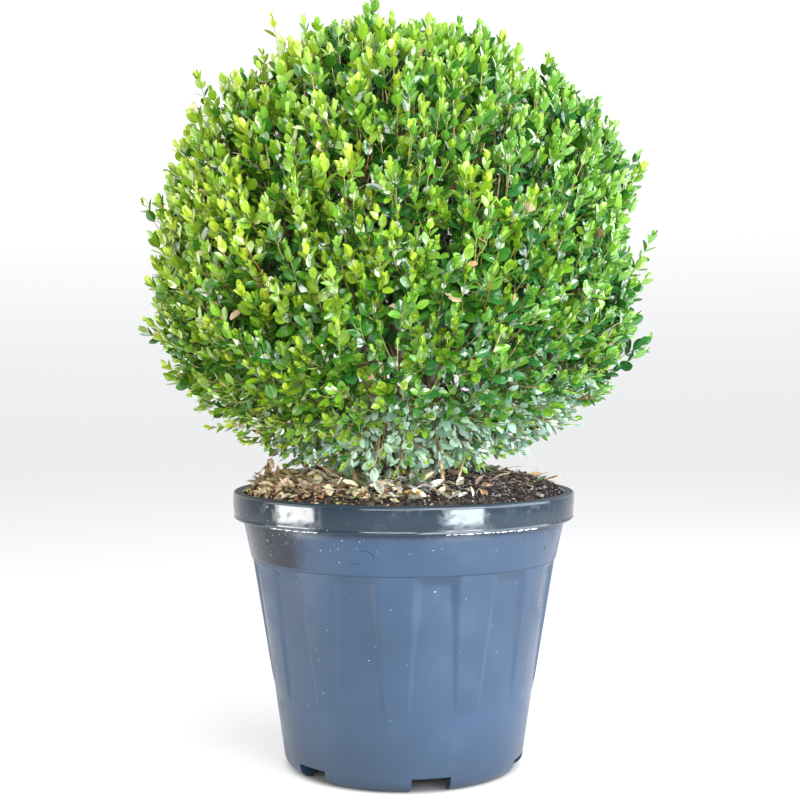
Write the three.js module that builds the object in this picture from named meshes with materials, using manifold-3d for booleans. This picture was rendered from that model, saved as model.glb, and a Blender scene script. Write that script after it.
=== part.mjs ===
// A clipped ball of box in a fluted plastic nursery pot.
// Millimetres, +Z up. The origin is the centre of the pot's flat underside and -Y is the front.
// Headings (turns about +Z) are measured from the front, positive to the right.
// The pot holds compost, stems rise from the compost, boughs fork from the stems, and each stem or
// bough feeds one mass of foliage. The masses are sectors of the ball, hollow in the middle.
import * as THREE from "three";
import { mergeVertices } from "three/addons/utils/BufferGeometryUtils.js";
import Module from "manifold-3d";

const wasm = await Module();
wasm.setup();

// Pot: a tapered wall, a wider band round its top and a rim with a skirt that hangs down outside
const potSegments = 48;
const potTurn = -3;
const rimTop = 274.5;
const rimRadius = 170;
const rimFoot = 248;
const rimFootRadius = 168.6;
const lipRadius = 3.5;
const skirtThickness = 2.6;
const mouthRadius = 159;
const bandTop = 243;
const bandTopRadius = 159.4;
const bandFoot = 209;
const bandFootRadius = 152;
const shoulderSlope = 1.5;
const shoulderInside = 3;
const neckThickness = 1.2;
const lipThickness = 4.5;
const wallTopRadius = 147;
const cornerRadius = 14;
const cornerSteps = 2;
const wallFootRadius = 120;
const wallThickness = 2.4;
const floorThickness = 3;

// Flutes: raised ribs that fade out down the wall, with recesses between them
const ribCount = 12;
const ribHeading = potTurn;
const ribTopRadius = 151;
const ribFoot = 74;
const ribFull = 86;
const ribFullRadius = 131.2;
const ribTopHalfAngle = 8.6;
const ribFootHalfAngle = 5.8;
const ribDraftAngle = 1.1;
const ribSink = 1.2;
const ribIntoBand = 1;

// Drain notches cut through the foot of the wall
const notchCount = 6;
const notchHeading = 12.6;
const notchWidth = 37.5;
const notchHeight = 15;
const notchDepth = 24;

// Compost: fills the pot to the brim and rises to a level middle that the stems stand on
const clearance = 0.4;
const compostEdgeDrop = 8;
const moundHeight = 289;
const moundFlatRadius = 62;
const moundShoulderRadius = 128;
const moundShoulderDrop = 5;
const moundLump = 2.2;
const lumpSpacing = 16;

// Crown: a ball whose lowest part ends at the compost
const crown = new THREE.Vector3(-7, 0, 502);
const crownReach = 245;
const reachSpread = 8;
const coreRadius = 197;
const coreLump = 4;
const coreLumpTurn = 11;
const coreInnerRadius = 152;
const limbReach = 128;

// Masses: a cap and two rings of sectors. Polar angles are measured from straight up.
const sectorCount = 6;
const capAngle = 40;
const middleAngle = 90;
const coreFootAngle = 160;
const coreInnerFootAngle = 150;
const foliageFootAngle = 168;
const shootFootAngle = 160;
const twigFootAngle = 158;
const upperFeedAngle = 64;
const lowerFeedAngle = 112;
const massGap = 0.35;
const foliageMargin = 0.75;
const foliageOverCompost = 3.2;
const foliageOverRim = 1.5;
const foliageOffLimbs = 5;
const coreSpanSteps = 3;
const coreFallSteps = 3;
const capFallSteps = 2;

// Limbs: tapering stems from the compost, and boughs that fork from them
const stemRingRadius = 33;
const stemRingScatter = 8;
const stemHeadingScatter = 16;
const middleStemFoot = [4, 3];
const stemRise = 0.42;
const stemBend = 0.3;
const stemFootRadius = 8;
const stemTipRadius = 4.6;
const stemFlare = 3.2;
const flareFade = 22;
const stemSides = 6;
const firstCorner = new THREE.Vector3(1, 0.3, 0.1);
const stemSteps = 7;
const boughFork = 0.34;
const boughTurn = 0.45;
const boughBend = 0.4;
const boughFootRadius = 5.4;
const boughTipRadius = 3.8;
const boughSteps = 5;
const seatGap = 0.3;
const massStemRadius = 3.8;
const massStemSink = 20;

// Shoots and leaves, larger than life so that fewer of them fill the ball
const shootCount = 115;
const twigSides = 4;
const twigFootRadius = 3;
const twigTipRadius = 2.4;
const twigSink = 7;
const twigMargin = 4.5;
const leafSink = 1.5;
const leafLength = 44;
const leafWidth = 30;
const leafThickness = 3;
const leafCup = 5;
const leafWidest = 0.52;
const leafTipLift = 2;
const leafAngles = [54, 38, 22];
const leafSizes = [0.9, 1.08];
const leafSpacing = 14;
const spineShares = [0.4, 0.7, 1];
const pairSpacing = 19;
const tipPairDrop = 3;
const leafClearOfCore = 4;
const shootTurns = 6;
const lowestShoot = 4;
const shootScatter = 5;
const deepestShare = 0.6;
const growthTilts = [0.62, 0.4, 0.18, 0];

// The shoots that stand out of the clipped outline: heading, polar angle and reach
const stragglers = [
  { heading: -90, polar: 4, reach: 256 },
  { heading: -90, polar: 27, reach: 264 },
  { heading: -90, polar: 47, reach: 266 },
  { heading: 90, polar: 70, reach: 263 },
  { heading: 90, polar: 107, reach: 263 },
  { heading: -90, polar: 105, reach: 258 },
  { heading: -90, polar: 129, reach: 248 },
  { heading: 180, polar: 62, reach: 256 },
];

const shortestEdge = 0.02;
const up = new THREE.Vector3(0, 0, 1);
const seed = 20240611;

const finishes = {
  pot: new THREE.MeshStandardMaterial({ color: 0x44546c, roughness: 0.42, metalness: 0 }),
  compost: new THREE.MeshStandardMaterial({ color: 0x4a3a2c, roughness: 0.95, metalness: 0 }),
  bark: new THREE.MeshStandardMaterial({ color: 0x8a7a62, roughness: 0.9, metalness: 0 }),
  foliage: new THREE.MeshStandardMaterial({ color: 0x3f7a2a, roughness: 0.5, metalness: 0 }),
};

// Repeatable random numbers from 0 to 1
function randomFrom(start) {
  let state = start >>> 0;
  return function () {
    state = (state + 0x6d2b79f5) >>> 0;
    let mixed = Math.imul(state ^ (state >>> 15), 1 | state);
    mixed = (mixed + Math.imul(mixed ^ (mixed >>> 7), 61 | mixed)) ^ mixed;
    return ((mixed ^ (mixed >>> 14)) >>> 0) / 4294967296;
  };
}

const radians = THREE.MathUtils.degToRad;
const lerp = THREE.MathUtils.lerp;

// The point at a heading in degrees, a distance from the pot's axis and a height
function around(heading, distance, height) {
  const turn = radians(heading);
  return new THREE.Vector3(distance * Math.sin(turn), -distance * Math.cos(turn), height);
}

// The direction from the crown's centre at a heading and a polar angle, both in degrees
function outward(heading, polar) {
  return around(heading, Math.sin(radians(polar)), Math.cos(radians(polar)));
}

function fromCrown(direction, distance) {
  return crown.clone().addScaledVector(direction, distance);
}

// Solids and booleans
function solidOf(geometry) {
  const bare = geometry.clone();
  bare.deleteAttribute("normal");
  bare.deleteAttribute("uv");
  const merged = mergeVertices(bare, 1e-4);
  const kept = [];
  const index = merged.index.array;
  for (let i = 0; i < index.length; i += 3) {
    const [a, b, c] = [index[i], index[i + 1], index[i + 2]];
    if (a !== b && b !== c && c !== a) kept.push(a, b, c);
  }
  return new wasm.Manifold(
    new wasm.Mesh({
      numProp: 3,
      vertProperties: merged.attributes.position.array,
      triVerts: new Uint32Array(kept),
    }),
  );
}

// Booleans leave some corners almost on top of each other. Each pair closer than the shortest edge
// becomes one corner, and faces that this closes up, or folds flat on each other, go.
function withoutShortEdges(places, corners) {
  const place = (corner) => new THREE.Vector3().fromArray(places, 3 * corner);
  const joinedTo = Array.from({ length: places.length / 3 }, (_, corner) => corner);
  const standIn = (corner) => (joinedTo[corner] === corner ? corner : standIn(joinedTo[corner]));
  for (let i = 0; i < corners.length; i++) {
    const next = i % 3 === 2 ? i - 2 : i + 1;
    const [a, b] = [standIn(corners[i]), standIn(corners[next])];
    if (a !== b && place(a).distanceTo(place(b)) < shortestEdge) joinedTo[a] = b;
  }
  const faces = new Map();
  for (let i = 0; i < corners.length; i += 3) {
    const face = [corners[i], corners[i + 1], corners[i + 2]].map(standIn);
    if (new Set(face).size < 3) continue;
    const key = face.toSorted((a, b) => a - b).join();
    if (!faces.delete(key)) faces.set(key, face);
  }
  return [...faces.values()].flat();
}

function geometryOf(solid) {
  const mesh = solid.getMesh();
  const geometry = new THREE.BufferGeometry();
  geometry.setAttribute("position", new THREE.BufferAttribute(mesh.vertProperties, 3));
  geometry.setIndex(withoutShortEdges(mesh.vertProperties, mesh.triVerts));
  return geometry;
}

function joined(solids) {
  return solids.reduce((whole, solid) => whole.add(solid));
}

function meshOf(name, solid, finish) {
  const mesh = new THREE.Mesh(geometryOf(solid), finish);
  mesh.geometry.computeVertexNormals();
  mesh.name = name;
  return mesh;
}

// A closed skin over rings of equally many points, which run anticlockwise seen from the last ring
function loft(rings) {
  const points = rings.flat();
  const count = rings[0].length;
  const faces = [];
  for (let ring = 0; ring < rings.length - 1; ring++) {
    for (let i = 0; i < count; i++) {
      const [a, b] = [ring * count + i, ring * count + ((i + 1) % count)];
      faces.push(a, b, b + count, a, b + count, a + count);
    }
  }
  const last = (rings.length - 1) * count;
  for (let i = 1; i < count - 1; i++) {
    faces.push(0, i + 1, i, last, last + i, last + i + 1);
  }
  const geometry = new THREE.BufferGeometry().setFromPoints(points);
  geometry.setIndex(faces);
  return geometry;
}

// A solid of revolution about +Z, with a facet corner in the middle of each rib
function turned(profile) {
  return new THREE.LatheGeometry(profile, potSegments, radians(potTurn)).rotateX(Math.PI / 2);
}

// A limb through points, each with the direction it runs there and its radius
function sweep(points, directions, radii, sides, startNormal) {
  const normal = startNormal.clone();
  const rings = points.map((centre, step) => {
    normal.addScaledVector(directions[step], -normal.dot(directions[step])).normalize();
    const binormal = new THREE.Vector3().crossVectors(directions[step], normal);
    return Array.from({ length: sides }, (_, side) => {
      const turn = (side / sides) * 2 * Math.PI;
      return centre
        .clone()
        .addScaledVector(normal, radii[step] * Math.cos(turn))
        .addScaledVector(binormal, radii[step] * Math.sin(turn));
    });
  });
  return solidOf(loft(rings));
}

// A tapering limb along a curve, with flat ends square to the curve
function limb(curve, radiusAt, sides, steps) {
  const shares = Array.from({ length: steps + 1 }, (_, step) => step / steps);
  return sweep(
    shares.map((share) => curve.getPointAt(share)),
    shares.map((share) => curve.getTangentAt(share)),
    shares.map(radiusAt),
    sides,
    firstCorner,
  );
}

// Pot
function wallRadius(height) {
  return lerp(wallFootRadius, wallTopRadius, (height - cornerRadius) / (bandFoot - cornerRadius));
}

function potProfile() {
  const profile = [new THREE.Vector2(0, 0)];
  for (let step = 0; step <= cornerSteps; step++) {
    const turn = ((step / cornerSteps) * Math.PI) / 2;
    profile.push(
      new THREE.Vector2(
        wallFootRadius - cornerRadius + cornerRadius * Math.sin(turn),
        cornerRadius - cornerRadius * Math.cos(turn),
      ),
    );
  }
  const skirtGapRadius = rimFootRadius - skirtThickness;
  profile.push(
    new THREE.Vector2(wallTopRadius, bandFoot - shoulderSlope),
    new THREE.Vector2(bandFootRadius, bandFoot),
    new THREE.Vector2(bandTopRadius, bandTop),
    new THREE.Vector2(mouthRadius + neckThickness, rimTop - lipThickness),
    new THREE.Vector2(skirtGapRadius, rimTop - lipThickness),
    new THREE.Vector2(skirtGapRadius, rimFoot),
    new THREE.Vector2(rimFootRadius, rimFoot),
    new THREE.Vector2(rimRadius, rimTop - lipRadius),
    new THREE.Vector2(rimRadius - lipRadius, rimTop),
    new THREE.Vector2(mouthRadius + lipRadius, rimTop),
    new THREE.Vector2(mouthRadius, rimTop - lipRadius),
  );
  return profile.concat(insideProfile(0));
}

// The inside of the pot from its band down to its floor, drawn in by a gap
function insideProfile(gap) {
  const depth = wallThickness + gap;
  return [
    new THREE.Vector2(bandTopRadius - depth, bandTop),
    new THREE.Vector2(wallTopRadius - depth, bandFoot - shoulderInside),
    new THREE.Vector2(wallFootRadius - depth, cornerRadius),
    new THREE.Vector2(wallFootRadius - cornerRadius, floorThickness + gap),
    new THREE.Vector2(0, floorThickness + gap),
  ];
}

function rib(heading) {
  const levels = [
    { height: ribFoot, radius: wallRadius(ribFoot) - ribSink / 2, half: ribFootHalfAngle },
    { height: ribFull, radius: ribFullRadius, half: ribFootHalfAngle },
    { height: bandFoot - ribIntoBand, radius: ribTopRadius, half: ribTopHalfAngle },
  ];
  const rings = levels.map(({ height, radius, half }) => {
    const sunk = wallRadius(height) - ribSink;
    return [
      around(heading - half, sunk, height),
      around(heading - half + ribDraftAngle, radius, height),
      around(heading, radius, height),
      around(heading + half - ribDraftAngle, radius, height),
      around(heading + half, sunk, height),
      around(heading, sunk, height),
    ];
  });
  return solidOf(loft(rings));
}

function notchCutter(heading) {
  const box = new THREE.BoxGeometry(notchWidth, 2 * notchDepth, 2 * notchHeight);
  box.rotateZ(radians(heading));
  const place = around(heading, wallFootRadius, 0);
  return solidOf(box.translate(place.x, place.y, place.z));
}

function makePot() {
  let pot = solidOf(turned(potProfile()));
  for (let k = 0; k < ribCount; k++) {
    pot = pot.add(rib(ribHeading + (k * 360) / ribCount));
  }
  for (let k = 0; k < notchCount; k++) {
    pot = pot.subtract(notchCutter(notchHeading + (k * 360) / notchCount));
  }
  return meshOf("pot", pot, finishes.pot);
}

// Compost
function moundAt(distance) {
  if (distance <= moundFlatRadius) return moundHeight;
  if (distance <= moundShoulderRadius) {
    const share = (distance - moundFlatRadius) / (moundShoulderRadius - moundFlatRadius);
    return moundHeight - moundShoulderDrop * share;
  }
  const edge = mouthRadius - wallThickness;
  const share = Math.min((distance - moundShoulderRadius) / (edge - moundShoulderRadius), 1);
  return lerp(moundHeight - moundShoulderDrop, rimTop - compostEdgeDrop, share * share);
}

// Small heaps and hollows between the level middle and the edge
function moundLumps(x, y) {
  return moundLump * Math.sin(x / lumpSpacing + 1) * Math.cos(y / lumpSpacing);
}

function makeCompost() {
  const profile = insideProfile(clearance).reverse();
  const edge = profile[profile.length - 1].x;
  const rings = [edge, (moundShoulderRadius + edge) / 2, moundShoulderRadius, moundFlatRadius];
  for (const radius of rings) {
    profile.push(new THREE.Vector2(radius, moundAt(radius)));
  }
  profile.push(new THREE.Vector2(0, moundHeight));
  const geometry = turned(profile);
  const place = geometry.attributes.position;
  const looseFrom = (moundFlatRadius + moundShoulderRadius) / 2;
  const looseTo = (moundShoulderRadius + 2 * edge) / 3;
  for (let i = 0; i < place.count; i++) {
    const [x, y, z] = [place.getX(i), place.getY(i), place.getZ(i)];
    const distance = Math.hypot(x, y);
    const loose = z > bandTop && distance > looseFrom && distance < looseTo;
    if (loose) place.setZ(i, z + moundLumps(x, y));
  }
  return meshOf("compost", solidOf(geometry), finishes.compost);
}

// Masses: the space of each is a cap or a sector of the ball
function capMass() {
  return {
    name: "foliage_top",
    from: 0,
    to: capAngle,
    whole: true,
    heading: 0,
    feed: outward(0, 0),
  };
}

function sectorMass(name, heading, from, to, feedAngle) {
  return { name, from, to, whole: false, heading, feed: outward(heading, feedAngle) };
}

function listMasses() {
  const masses = [capMass()];
  const turn = 360 / sectorCount;
  for (let k = 0; k < sectorCount; k++) {
    const name = `foliage_upper_${k + 1}`;
    masses.push(sectorMass(name, k * turn, capAngle, middleAngle, upperFeedAngle));
  }
  for (let k = 0; k < sectorCount; k++) {
    const name = `foliage_lower_${k + 1}`;
    const heading = (k + 0.5) * turn;
    masses.push(sectorMass(name, heading, middleAngle, foliageFootAngle, lowerFeedAngle));
  }
  return masses;
}

// How far a point lies inside a mass's space, measured to the nearest of its bounds
function roomIn(mass, point) {
  const place = point.clone().sub(crown);
  const flat = Math.hypot(place.x, place.y);
  const polar = Math.atan2(flat, place.z);
  const reach = place.length();
  const bounds = [];
  if (mass.from > 0) bounds.push(reach * Math.sin(polar - radians(mass.from)));
  bounds.push(reach * Math.sin(radians(mass.to) - polar));
  if (!mass.whole) {
    const halfTurn = Math.PI / sectorCount;
    const middle = around(mass.heading, 1, 0);
    const along = place.x * middle.x + place.y * middle.y;
    const across = Math.abs(place.x * middle.y - place.y * middle.x);
    bounds.push(along * Math.sin(halfTurn) - across * Math.cos(halfTurn));
  }
  return Math.min(...bounds);
}

// True where foliage may be: in its mass's space, over the compost and rim, and clear of the limbs
function free(mass, point) {
  const distance = Math.hypot(point.x, point.y);
  const floor = Math.max(moundAt(distance) + foliageOverCompost, rimTop + foliageOverRim);
  const offLimbs = point.distanceTo(crown) > limbReach + foliageOffLimbs;
  const offStems = point.z > crown.z || distance > moundFlatRadius + foliageOffLimbs;
  return roomIn(mass, point) > foliageMargin && point.z > floor && offLimbs && offStems;
}

// The core's point at a heading, a polar angle and a radius, drawn in by the gap at the side faces
function corePoint(mass, share, polar, radius) {
  const halfTurn = 180 / sectorCount;
  const flat = radius * Math.sin(radians(polar));
  const inset = THREE.MathUtils.radToDeg(Math.asin(massGap / flat));
  const heading = mass.heading + lerp(-halfTurn + inset, halfTurn - inset, share);
  return fromCrown(outward(heading, polar), radius);
}

function lumpyRadius(heading, polar) {
  return coreRadius + coreLump * Math.sin(heading / coreLumpTurn) * Math.sin(polar / coreLumpTurn);
}

// A sector of a thick ball shell, from a grid of points outside and one inside
function sectorCore(mass) {
  const gapAngle = (radius) => THREE.MathUtils.radToDeg(massGap / radius);
  const rings = [];
  for (let step = 0; step <= coreFallSteps; step++) {
    const share = step / coreFallSteps;
    const polarAt = (radius) => {
      const lowest = radius === coreInnerRadius ? coreInnerFootAngle : coreFootAngle;
      const foot = Math.min(mass.to, lowest);
      return lerp(mass.from + gapAngle(radius), foot - gapAngle(radius), share);
    };
    const outer = [];
    const inner = [];
    for (let side = 0; side <= coreSpanSteps; side++) {
      const heading = mass.heading + (side / coreSpanSteps - 0.5) * (360 / sectorCount);
      const edge = side === 0 || side === coreSpanSteps || step === 0 || step === coreFallSteps;
      const radius = edge ? coreRadius : lumpyRadius(heading, polarAt(coreRadius));
      outer.push(corePoint(mass, side / coreSpanSteps, polarAt(radius), radius));
      inner.push(
        corePoint(mass, side / coreSpanSteps, polarAt(coreInnerRadius), coreInnerRadius),
      );
    }
    rings.push([...inner, ...outer.reverse()]);
  }
  return solidOf(loftStrip(rings));
}

// A closed skin over rings that are thin bands: the end rings are closed as quads, side by side
function loftStrip(rings) {
  const geometry = loft(rings);
  const count = rings[0].length;
  const faces = Array.from(geometry.index.array).slice(0, (rings.length - 1) * count * 6);
  const last = (rings.length - 1) * count;
  for (let i = 0; i < count / 2 - 1; i++) {
    const [a, b, c, d] = [i, i + 1, count - 2 - i, count - 1 - i];
    faces.push(a, c, b, a, d, c);
    faces.push(last + a, last + b, last + c, last + a, last + c, last + d);
  }
  geometry.setIndex(faces);
  return geometry;
}

function capCore(mass) {
  const steps = capFallSteps;
  const rim = mass.to - THREE.MathUtils.radToDeg(massGap / coreInnerRadius);
  const profile = [];
  for (let step = 0; step <= steps; step++) {
    const polar = radians((rim * step) / steps);
    profile.push(
      new THREE.Vector2(coreInnerRadius * Math.sin(polar), coreInnerRadius * Math.cos(polar)),
    );
  }
  for (let step = steps; step >= 0; step--) {
    const polar = radians((rim * step) / steps);
    profile.push(new THREE.Vector2(coreRadius * Math.sin(polar), coreRadius * Math.cos(polar)));
  }
  profile[0].x = 0;
  profile[profile.length - 1].x = 0;
  const segments = coreSpanSteps * sectorCount;
  const geometry = new THREE.LatheGeometry(profile, segments, radians(180 / sectorCount));
  return solidOf(geometry.rotateX(Math.PI / 2).translate(crown.x, crown.y, crown.z));
}

// Limbs: each stem feeds an upper mass or the cap, and each bough a lower mass
function stemRoute(foot, feed) {
  const tip = fromCrown(feed, limbReach - seatGap);
  const rise = tip.z - foot.z;
  const risen = foot.clone().addScaledVector(up, rise * stemRise);
  const bend = tip.clone().addScaledVector(feed, -rise * stemBend);
  return new THREE.CubicBezierCurve3(foot, risen, bend, tip);
}

function stemRadius(extra) {
  return (share) =>
    lerp(stemFootRadius, stemTipRadius, share) +
    stemFlare * Math.exp(-share * flareFade) +
    extra;
}

function boughRoute(stem, feed) {
  const root = stem.getPointAt(boughFork);
  const tip = fromCrown(feed, limbReach - seatGap);
  const reach = root.distanceTo(tip);
  const leaving = stem.getTangentAt(boughFork).lerp(feed, boughTurn).normalize();
  const risen = root.clone().addScaledVector(leaving, reach * boughBend);
  const bend = tip.clone().addScaledVector(feed, -reach * boughBend);
  return new THREE.CubicBezierCurve3(root, risen, bend, tip);
}

function makeLimbs(masses) {
  const random = randomFrom(seed);
  const plateau = moundHeight + seatGap;
  const meshes = [];
  const upper = masses.filter((mass) => mass.name.startsWith("foliage_upper"));
  const lower = masses.filter((mass) => mass.name.startsWith("foliage_lower"));
  const middle = stemRoute(new THREE.Vector3(...middleStemFoot, plateau), masses[0].feed);
  meshes.push(stemMesh("stem_middle", middle));
  upper.forEach((mass, k) => {
    const heading = mass.heading + stemHeadingScatter * (random() - 0.5);
    const distance = stemRingRadius + stemRingScatter * (random() - 0.5);
    const foot = around(heading, distance, plateau);
    const route = stemRoute(foot, mass.feed);
    meshes.push(stemMesh(`stem_${k + 1}`, route));
    const fork = boughRoute(route, lower[k].feed);
    const radiusAt = (share) => lerp(boughFootRadius, boughTipRadius, share);
    const fatStem = limb(route, stemRadius(clearance), stemSides, stemSteps);
    const bough = limb(fork, radiusAt, stemSides, boughSteps).subtract(fatStem);
    meshes.push(meshOf(`bough_${k + 1}`, bough, finishes.bark));
  });
  return meshes;
}

function stemMesh(name, route) {
  return meshOf(name, limb(route, stemRadius(0), stemSides, stemSteps), finishes.bark);
}

// Leaves and shoots
function leaf(root, along, face, size) {
  const across = new THREE.Vector3().crossVectors(face, along).normalize();
  const normal = new THREE.Vector3().crossVectors(along, across).normalize();
  const at = (forward, sideways, over) =>
    root
      .clone()
      .addScaledVector(along, forward * size)
      .addScaledVector(across, sideways * size)
      .addScaledVector(normal, over * size);
  const corners = [
    at(0, 0, 0),
    at(leafLength * leafWidest, -leafWidth / 2, leafCup),
    at(leafLength, 0, leafTipLift),
    at(leafLength * leafWidest, leafWidth / 2, leafCup),
    at(leafLength * leafWidest, 0, leafThickness / 2),
    at(leafLength * leafWidest, 0, -leafThickness / 2),
  ];
  const [over, under] = [4, 5];
  const faces = [];
  for (let i = 0; i < 4; i++) {
    const next = (i + 1) % 4;
    faces.push(i, next, over, next, i, under);
  }
  const geometry = new THREE.BufferGeometry().setFromPoints(corners);
  geometry.setIndex(faces);
  const spine = spineShares.map((share) => at(leafLength * share, 0, 0));
  return { geometry, corners, spine };
}

// True where a leaf keeps to its mass's space: its corners and the middles between them
function leafFree(mass, corners) {
  return corners.every((corner, i) => {
    const middle = corner.clone().lerp(corners[(i + 1) % corners.length], 0.5);
    return free(mass, corner) && free(mass, middle);
  });
}

// The growing direction and foot of a shoot with this tip, leaning up as far as its mass allows
function shootRoot(mass, tip) {
  const radial = tip.clone().sub(crown).normalize();
  const rootReach = coreRadius - coreLump - twigSink;
  for (const tilt of growthTilts) {
    const along = radial.clone().addScaledVector(up, tilt).normalize();
    const outwardShare = along.dot(radial);
    const reach = tip.distanceTo(crown);
    const inward = outwardShare ** 2 * reach ** 2 - reach ** 2 + rootReach ** 2;
    if (inward <= 0) continue;
    const length = outwardShare * reach - Math.sqrt(inward);
    const foot = tip.clone().addScaledVector(along, -length);
    const polar = THREE.MathUtils.radToDeg(foot.clone().sub(crown).angleTo(up));
    const rooted = roomIn(mass, foot) > twigMargin && polar < twigFootAngle;
    if (rooted) return { foot, along, length };
  }
  return null;
}

// A leaf that spreads as far from the twig as the mass's space and the other leaves allow
function placeLeaf(mass, node, along, sideways, size, taken) {
  for (const angle of leafAngles) {
    const pointing = along.clone().multiplyScalar(Math.cos(radians(angle)));
    pointing.addScaledVector(sideways, Math.sin(radians(angle)));
    const made = leaf(node, pointing, along, size);
    const crowded = made.spine.some((point) =>
      taken.some((other) => other.distanceTo(point) < leafSpacing),
    );
    if (!crowded && leafFree(mass, made.corners)) return made;
  }
  return null;
}

// How far a twig's flat sides lie from its middle
const twigFace = twigTipRadius * Math.cos(Math.PI / 4);

// The pairs of leaves on a shoot, each pair square to the next, for one turn of the shoot
function leavesOn(mass, root, tip, side, sizes, taken) {
  const leaves = [];
  for (let pair = 0; pair < 2; pair++) {
    const drop = tipPairDrop + pair * pairSpacing;
    if (drop > root.length - leafClearOfCore) continue;
    const node = tip.clone().addScaledVector(root.along, -drop);
    for (let k = 0; k < 2; k++) {
      const quarter = (pair + 2 * k) * (Math.PI / 2);
      const sideways = side.clone().applyAxisAngle(root.along, quarter);
      const start = node.clone().addScaledVector(sideways, twigFace - leafSink);
      const made = placeLeaf(mass, start, root.along, sideways, sizes[pair * 2 + k], taken);
      if (made) leaves.push(made);
    }
  }
  return leaves;
}

// A four-angled twig from the end of the mass's stem to the shoot's tip, with its pairs of leaves.
// Of several turns of the shoot, it keeps the one that leaves room for most leaves.
function growShoot(mass, direction, reach, random, taken) {
  const tip = fromCrown(direction, reach - leafLength * Math.cos(radians(leafAngles[0])));
  const root = shootRoot(mass, tip);
  if (!root || !free(mass, tip)) return [];
  const sizes = Array.from({ length: 4 }, () => lerp(...leafSizes, random()));
  const firstTurn = random() * Math.PI;
  const level = new THREE.Vector3(Math.cos(firstTurn), Math.sin(firstTurn), 0);
  const firstSide = level.cross(root.along).normalize();
  let side = firstSide;
  let leaves = [];
  for (let turn = 0; turn < shootTurns; turn++) {
    const angle = (turn / shootTurns) * (Math.PI / 2);
    const turnedSide = firstSide.clone().applyAxisAngle(root.along, angle);
    const found = leavesOn(mass, root, tip, turnedSide, sizes, taken);
    if (found.length > leaves.length) [side, leaves] = [turnedSide, found];
  }
  if (leaves.length === 0) return [];
  leaves.forEach((made) => taken.push(...made.spine));
  const fork = fromCrown(mass.feed, (coreRadius + coreInnerRadius) / 2);
  const homeward = fork.clone().sub(root.foot).normalize();
  const downward = root.along.clone().negate();
  const twig = sweep(
    [tip, root.foot, fork],
    [downward, downward.clone().add(homeward).normalize(), homeward],
    [twigTipRadius, twigFootRadius, twigFootRadius],
    twigSides,
    side.clone().applyAxisAngle(root.along, Math.PI / 4),
  );
  return [twig, ...leaves.map((made) => solidOf(made.geometry))];
}

// Shoot directions spread evenly over the ball by the golden angle, with a little scatter
function shootDirections(random) {
  const goldenAngle = 180 * (3 - Math.sqrt(5));
  const lowest = Math.cos(radians(shootFootAngle));
  const directions = [];
  for (let k = 0; k < shootCount; k++) {
    const height = lerp(1, lowest, (k + 0.5) / shootCount);
    const polar = THREE.MathUtils.radToDeg(Math.acos(height)) + shootScatter * (random() - 0.5);
    const heading = k * goldenAngle + shootScatter * (random() - 0.5);
    const direction = outward(heading, Math.max(polar, 0));
    const clipped = crownReach + reachSpread * (random() - deepestShare);
    const drop = crown.z - moundHeight - lowestShoot;
    const reach = direction.z < 0 ? Math.min(clipped, drop / -direction.z) : clipped;
    directions.push({ direction, reach });
  }
  for (const { heading, polar, reach } of stragglers) {
    directions.push({ direction: outward(heading, polar), reach });
  }
  return directions;
}

function makeMasses(masses) {
  const random = randomFrom(seed + 1);
  const shoots = shootDirections(random);
  const taken = [];
  return masses.map((mass) => {
    const core = mass.whole ? capCore(mass) : sectorCore(mass);
    const stemLine = new THREE.LineCurve3(
      fromCrown(mass.feed, limbReach),
      fromCrown(mass.feed, coreInnerRadius + massStemSink),
    );
    const solids = [core, limb(stemLine, () => massStemRadius, twigSides, 1)];
    for (const { direction, reach } of shoots) {
      if (roomIn(mass, fromCrown(direction, reach)) > 0) {
        solids.push(...growShoot(mass, direction, reach, random, taken));
      }
    }
    return meshOf(mass.name, joined(solids), finishes.foliage);
  });
}

const plant = new THREE.Group();
const masses = listMasses();
plant.add(makePot(), makeCompost(), ...makeLimbs(masses), ...makeMasses(masses));

export default plant;
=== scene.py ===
"""A clipped ball of box in a fluted nursery pot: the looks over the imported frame.

Sizes are in millimetres and become metres where a mesh is made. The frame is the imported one: its
origin is the centre of the pot's flat underside, +Z is up and -Y is the front. Headings are turns
about +Z in degrees, measured from the front and positive to the right. Polar angles are measured
from straight up at the crown's centre.
"""

import math

import bpy
import numpy as np
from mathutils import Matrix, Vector


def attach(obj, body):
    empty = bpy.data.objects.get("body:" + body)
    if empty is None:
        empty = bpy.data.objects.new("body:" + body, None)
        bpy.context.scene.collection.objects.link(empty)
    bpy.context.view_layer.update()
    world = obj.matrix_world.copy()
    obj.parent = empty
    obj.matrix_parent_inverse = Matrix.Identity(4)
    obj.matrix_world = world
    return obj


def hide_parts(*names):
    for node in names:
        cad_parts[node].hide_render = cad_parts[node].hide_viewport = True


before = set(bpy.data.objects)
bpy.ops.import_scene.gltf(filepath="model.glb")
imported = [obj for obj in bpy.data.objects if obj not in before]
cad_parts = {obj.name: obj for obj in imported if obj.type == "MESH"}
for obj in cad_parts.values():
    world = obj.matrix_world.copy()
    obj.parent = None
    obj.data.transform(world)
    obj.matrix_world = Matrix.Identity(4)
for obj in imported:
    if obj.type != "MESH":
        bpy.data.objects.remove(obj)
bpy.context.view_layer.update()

MM = 0.001
SEED = 20240611
UP = np.array([0.0, 0.0, 1.0])

# Camera: its distance from the pot's axis, its height, how far it looks down and left, and its lens
CAMERA_DISTANCE = 1500
CAMERA_HEIGHT = 417
CAMERA_PITCH = 2.04
CAMERA_YAW = 0.14
CAMERA_LENS = 67.5
CAMERA_SENSOR = 36

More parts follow.
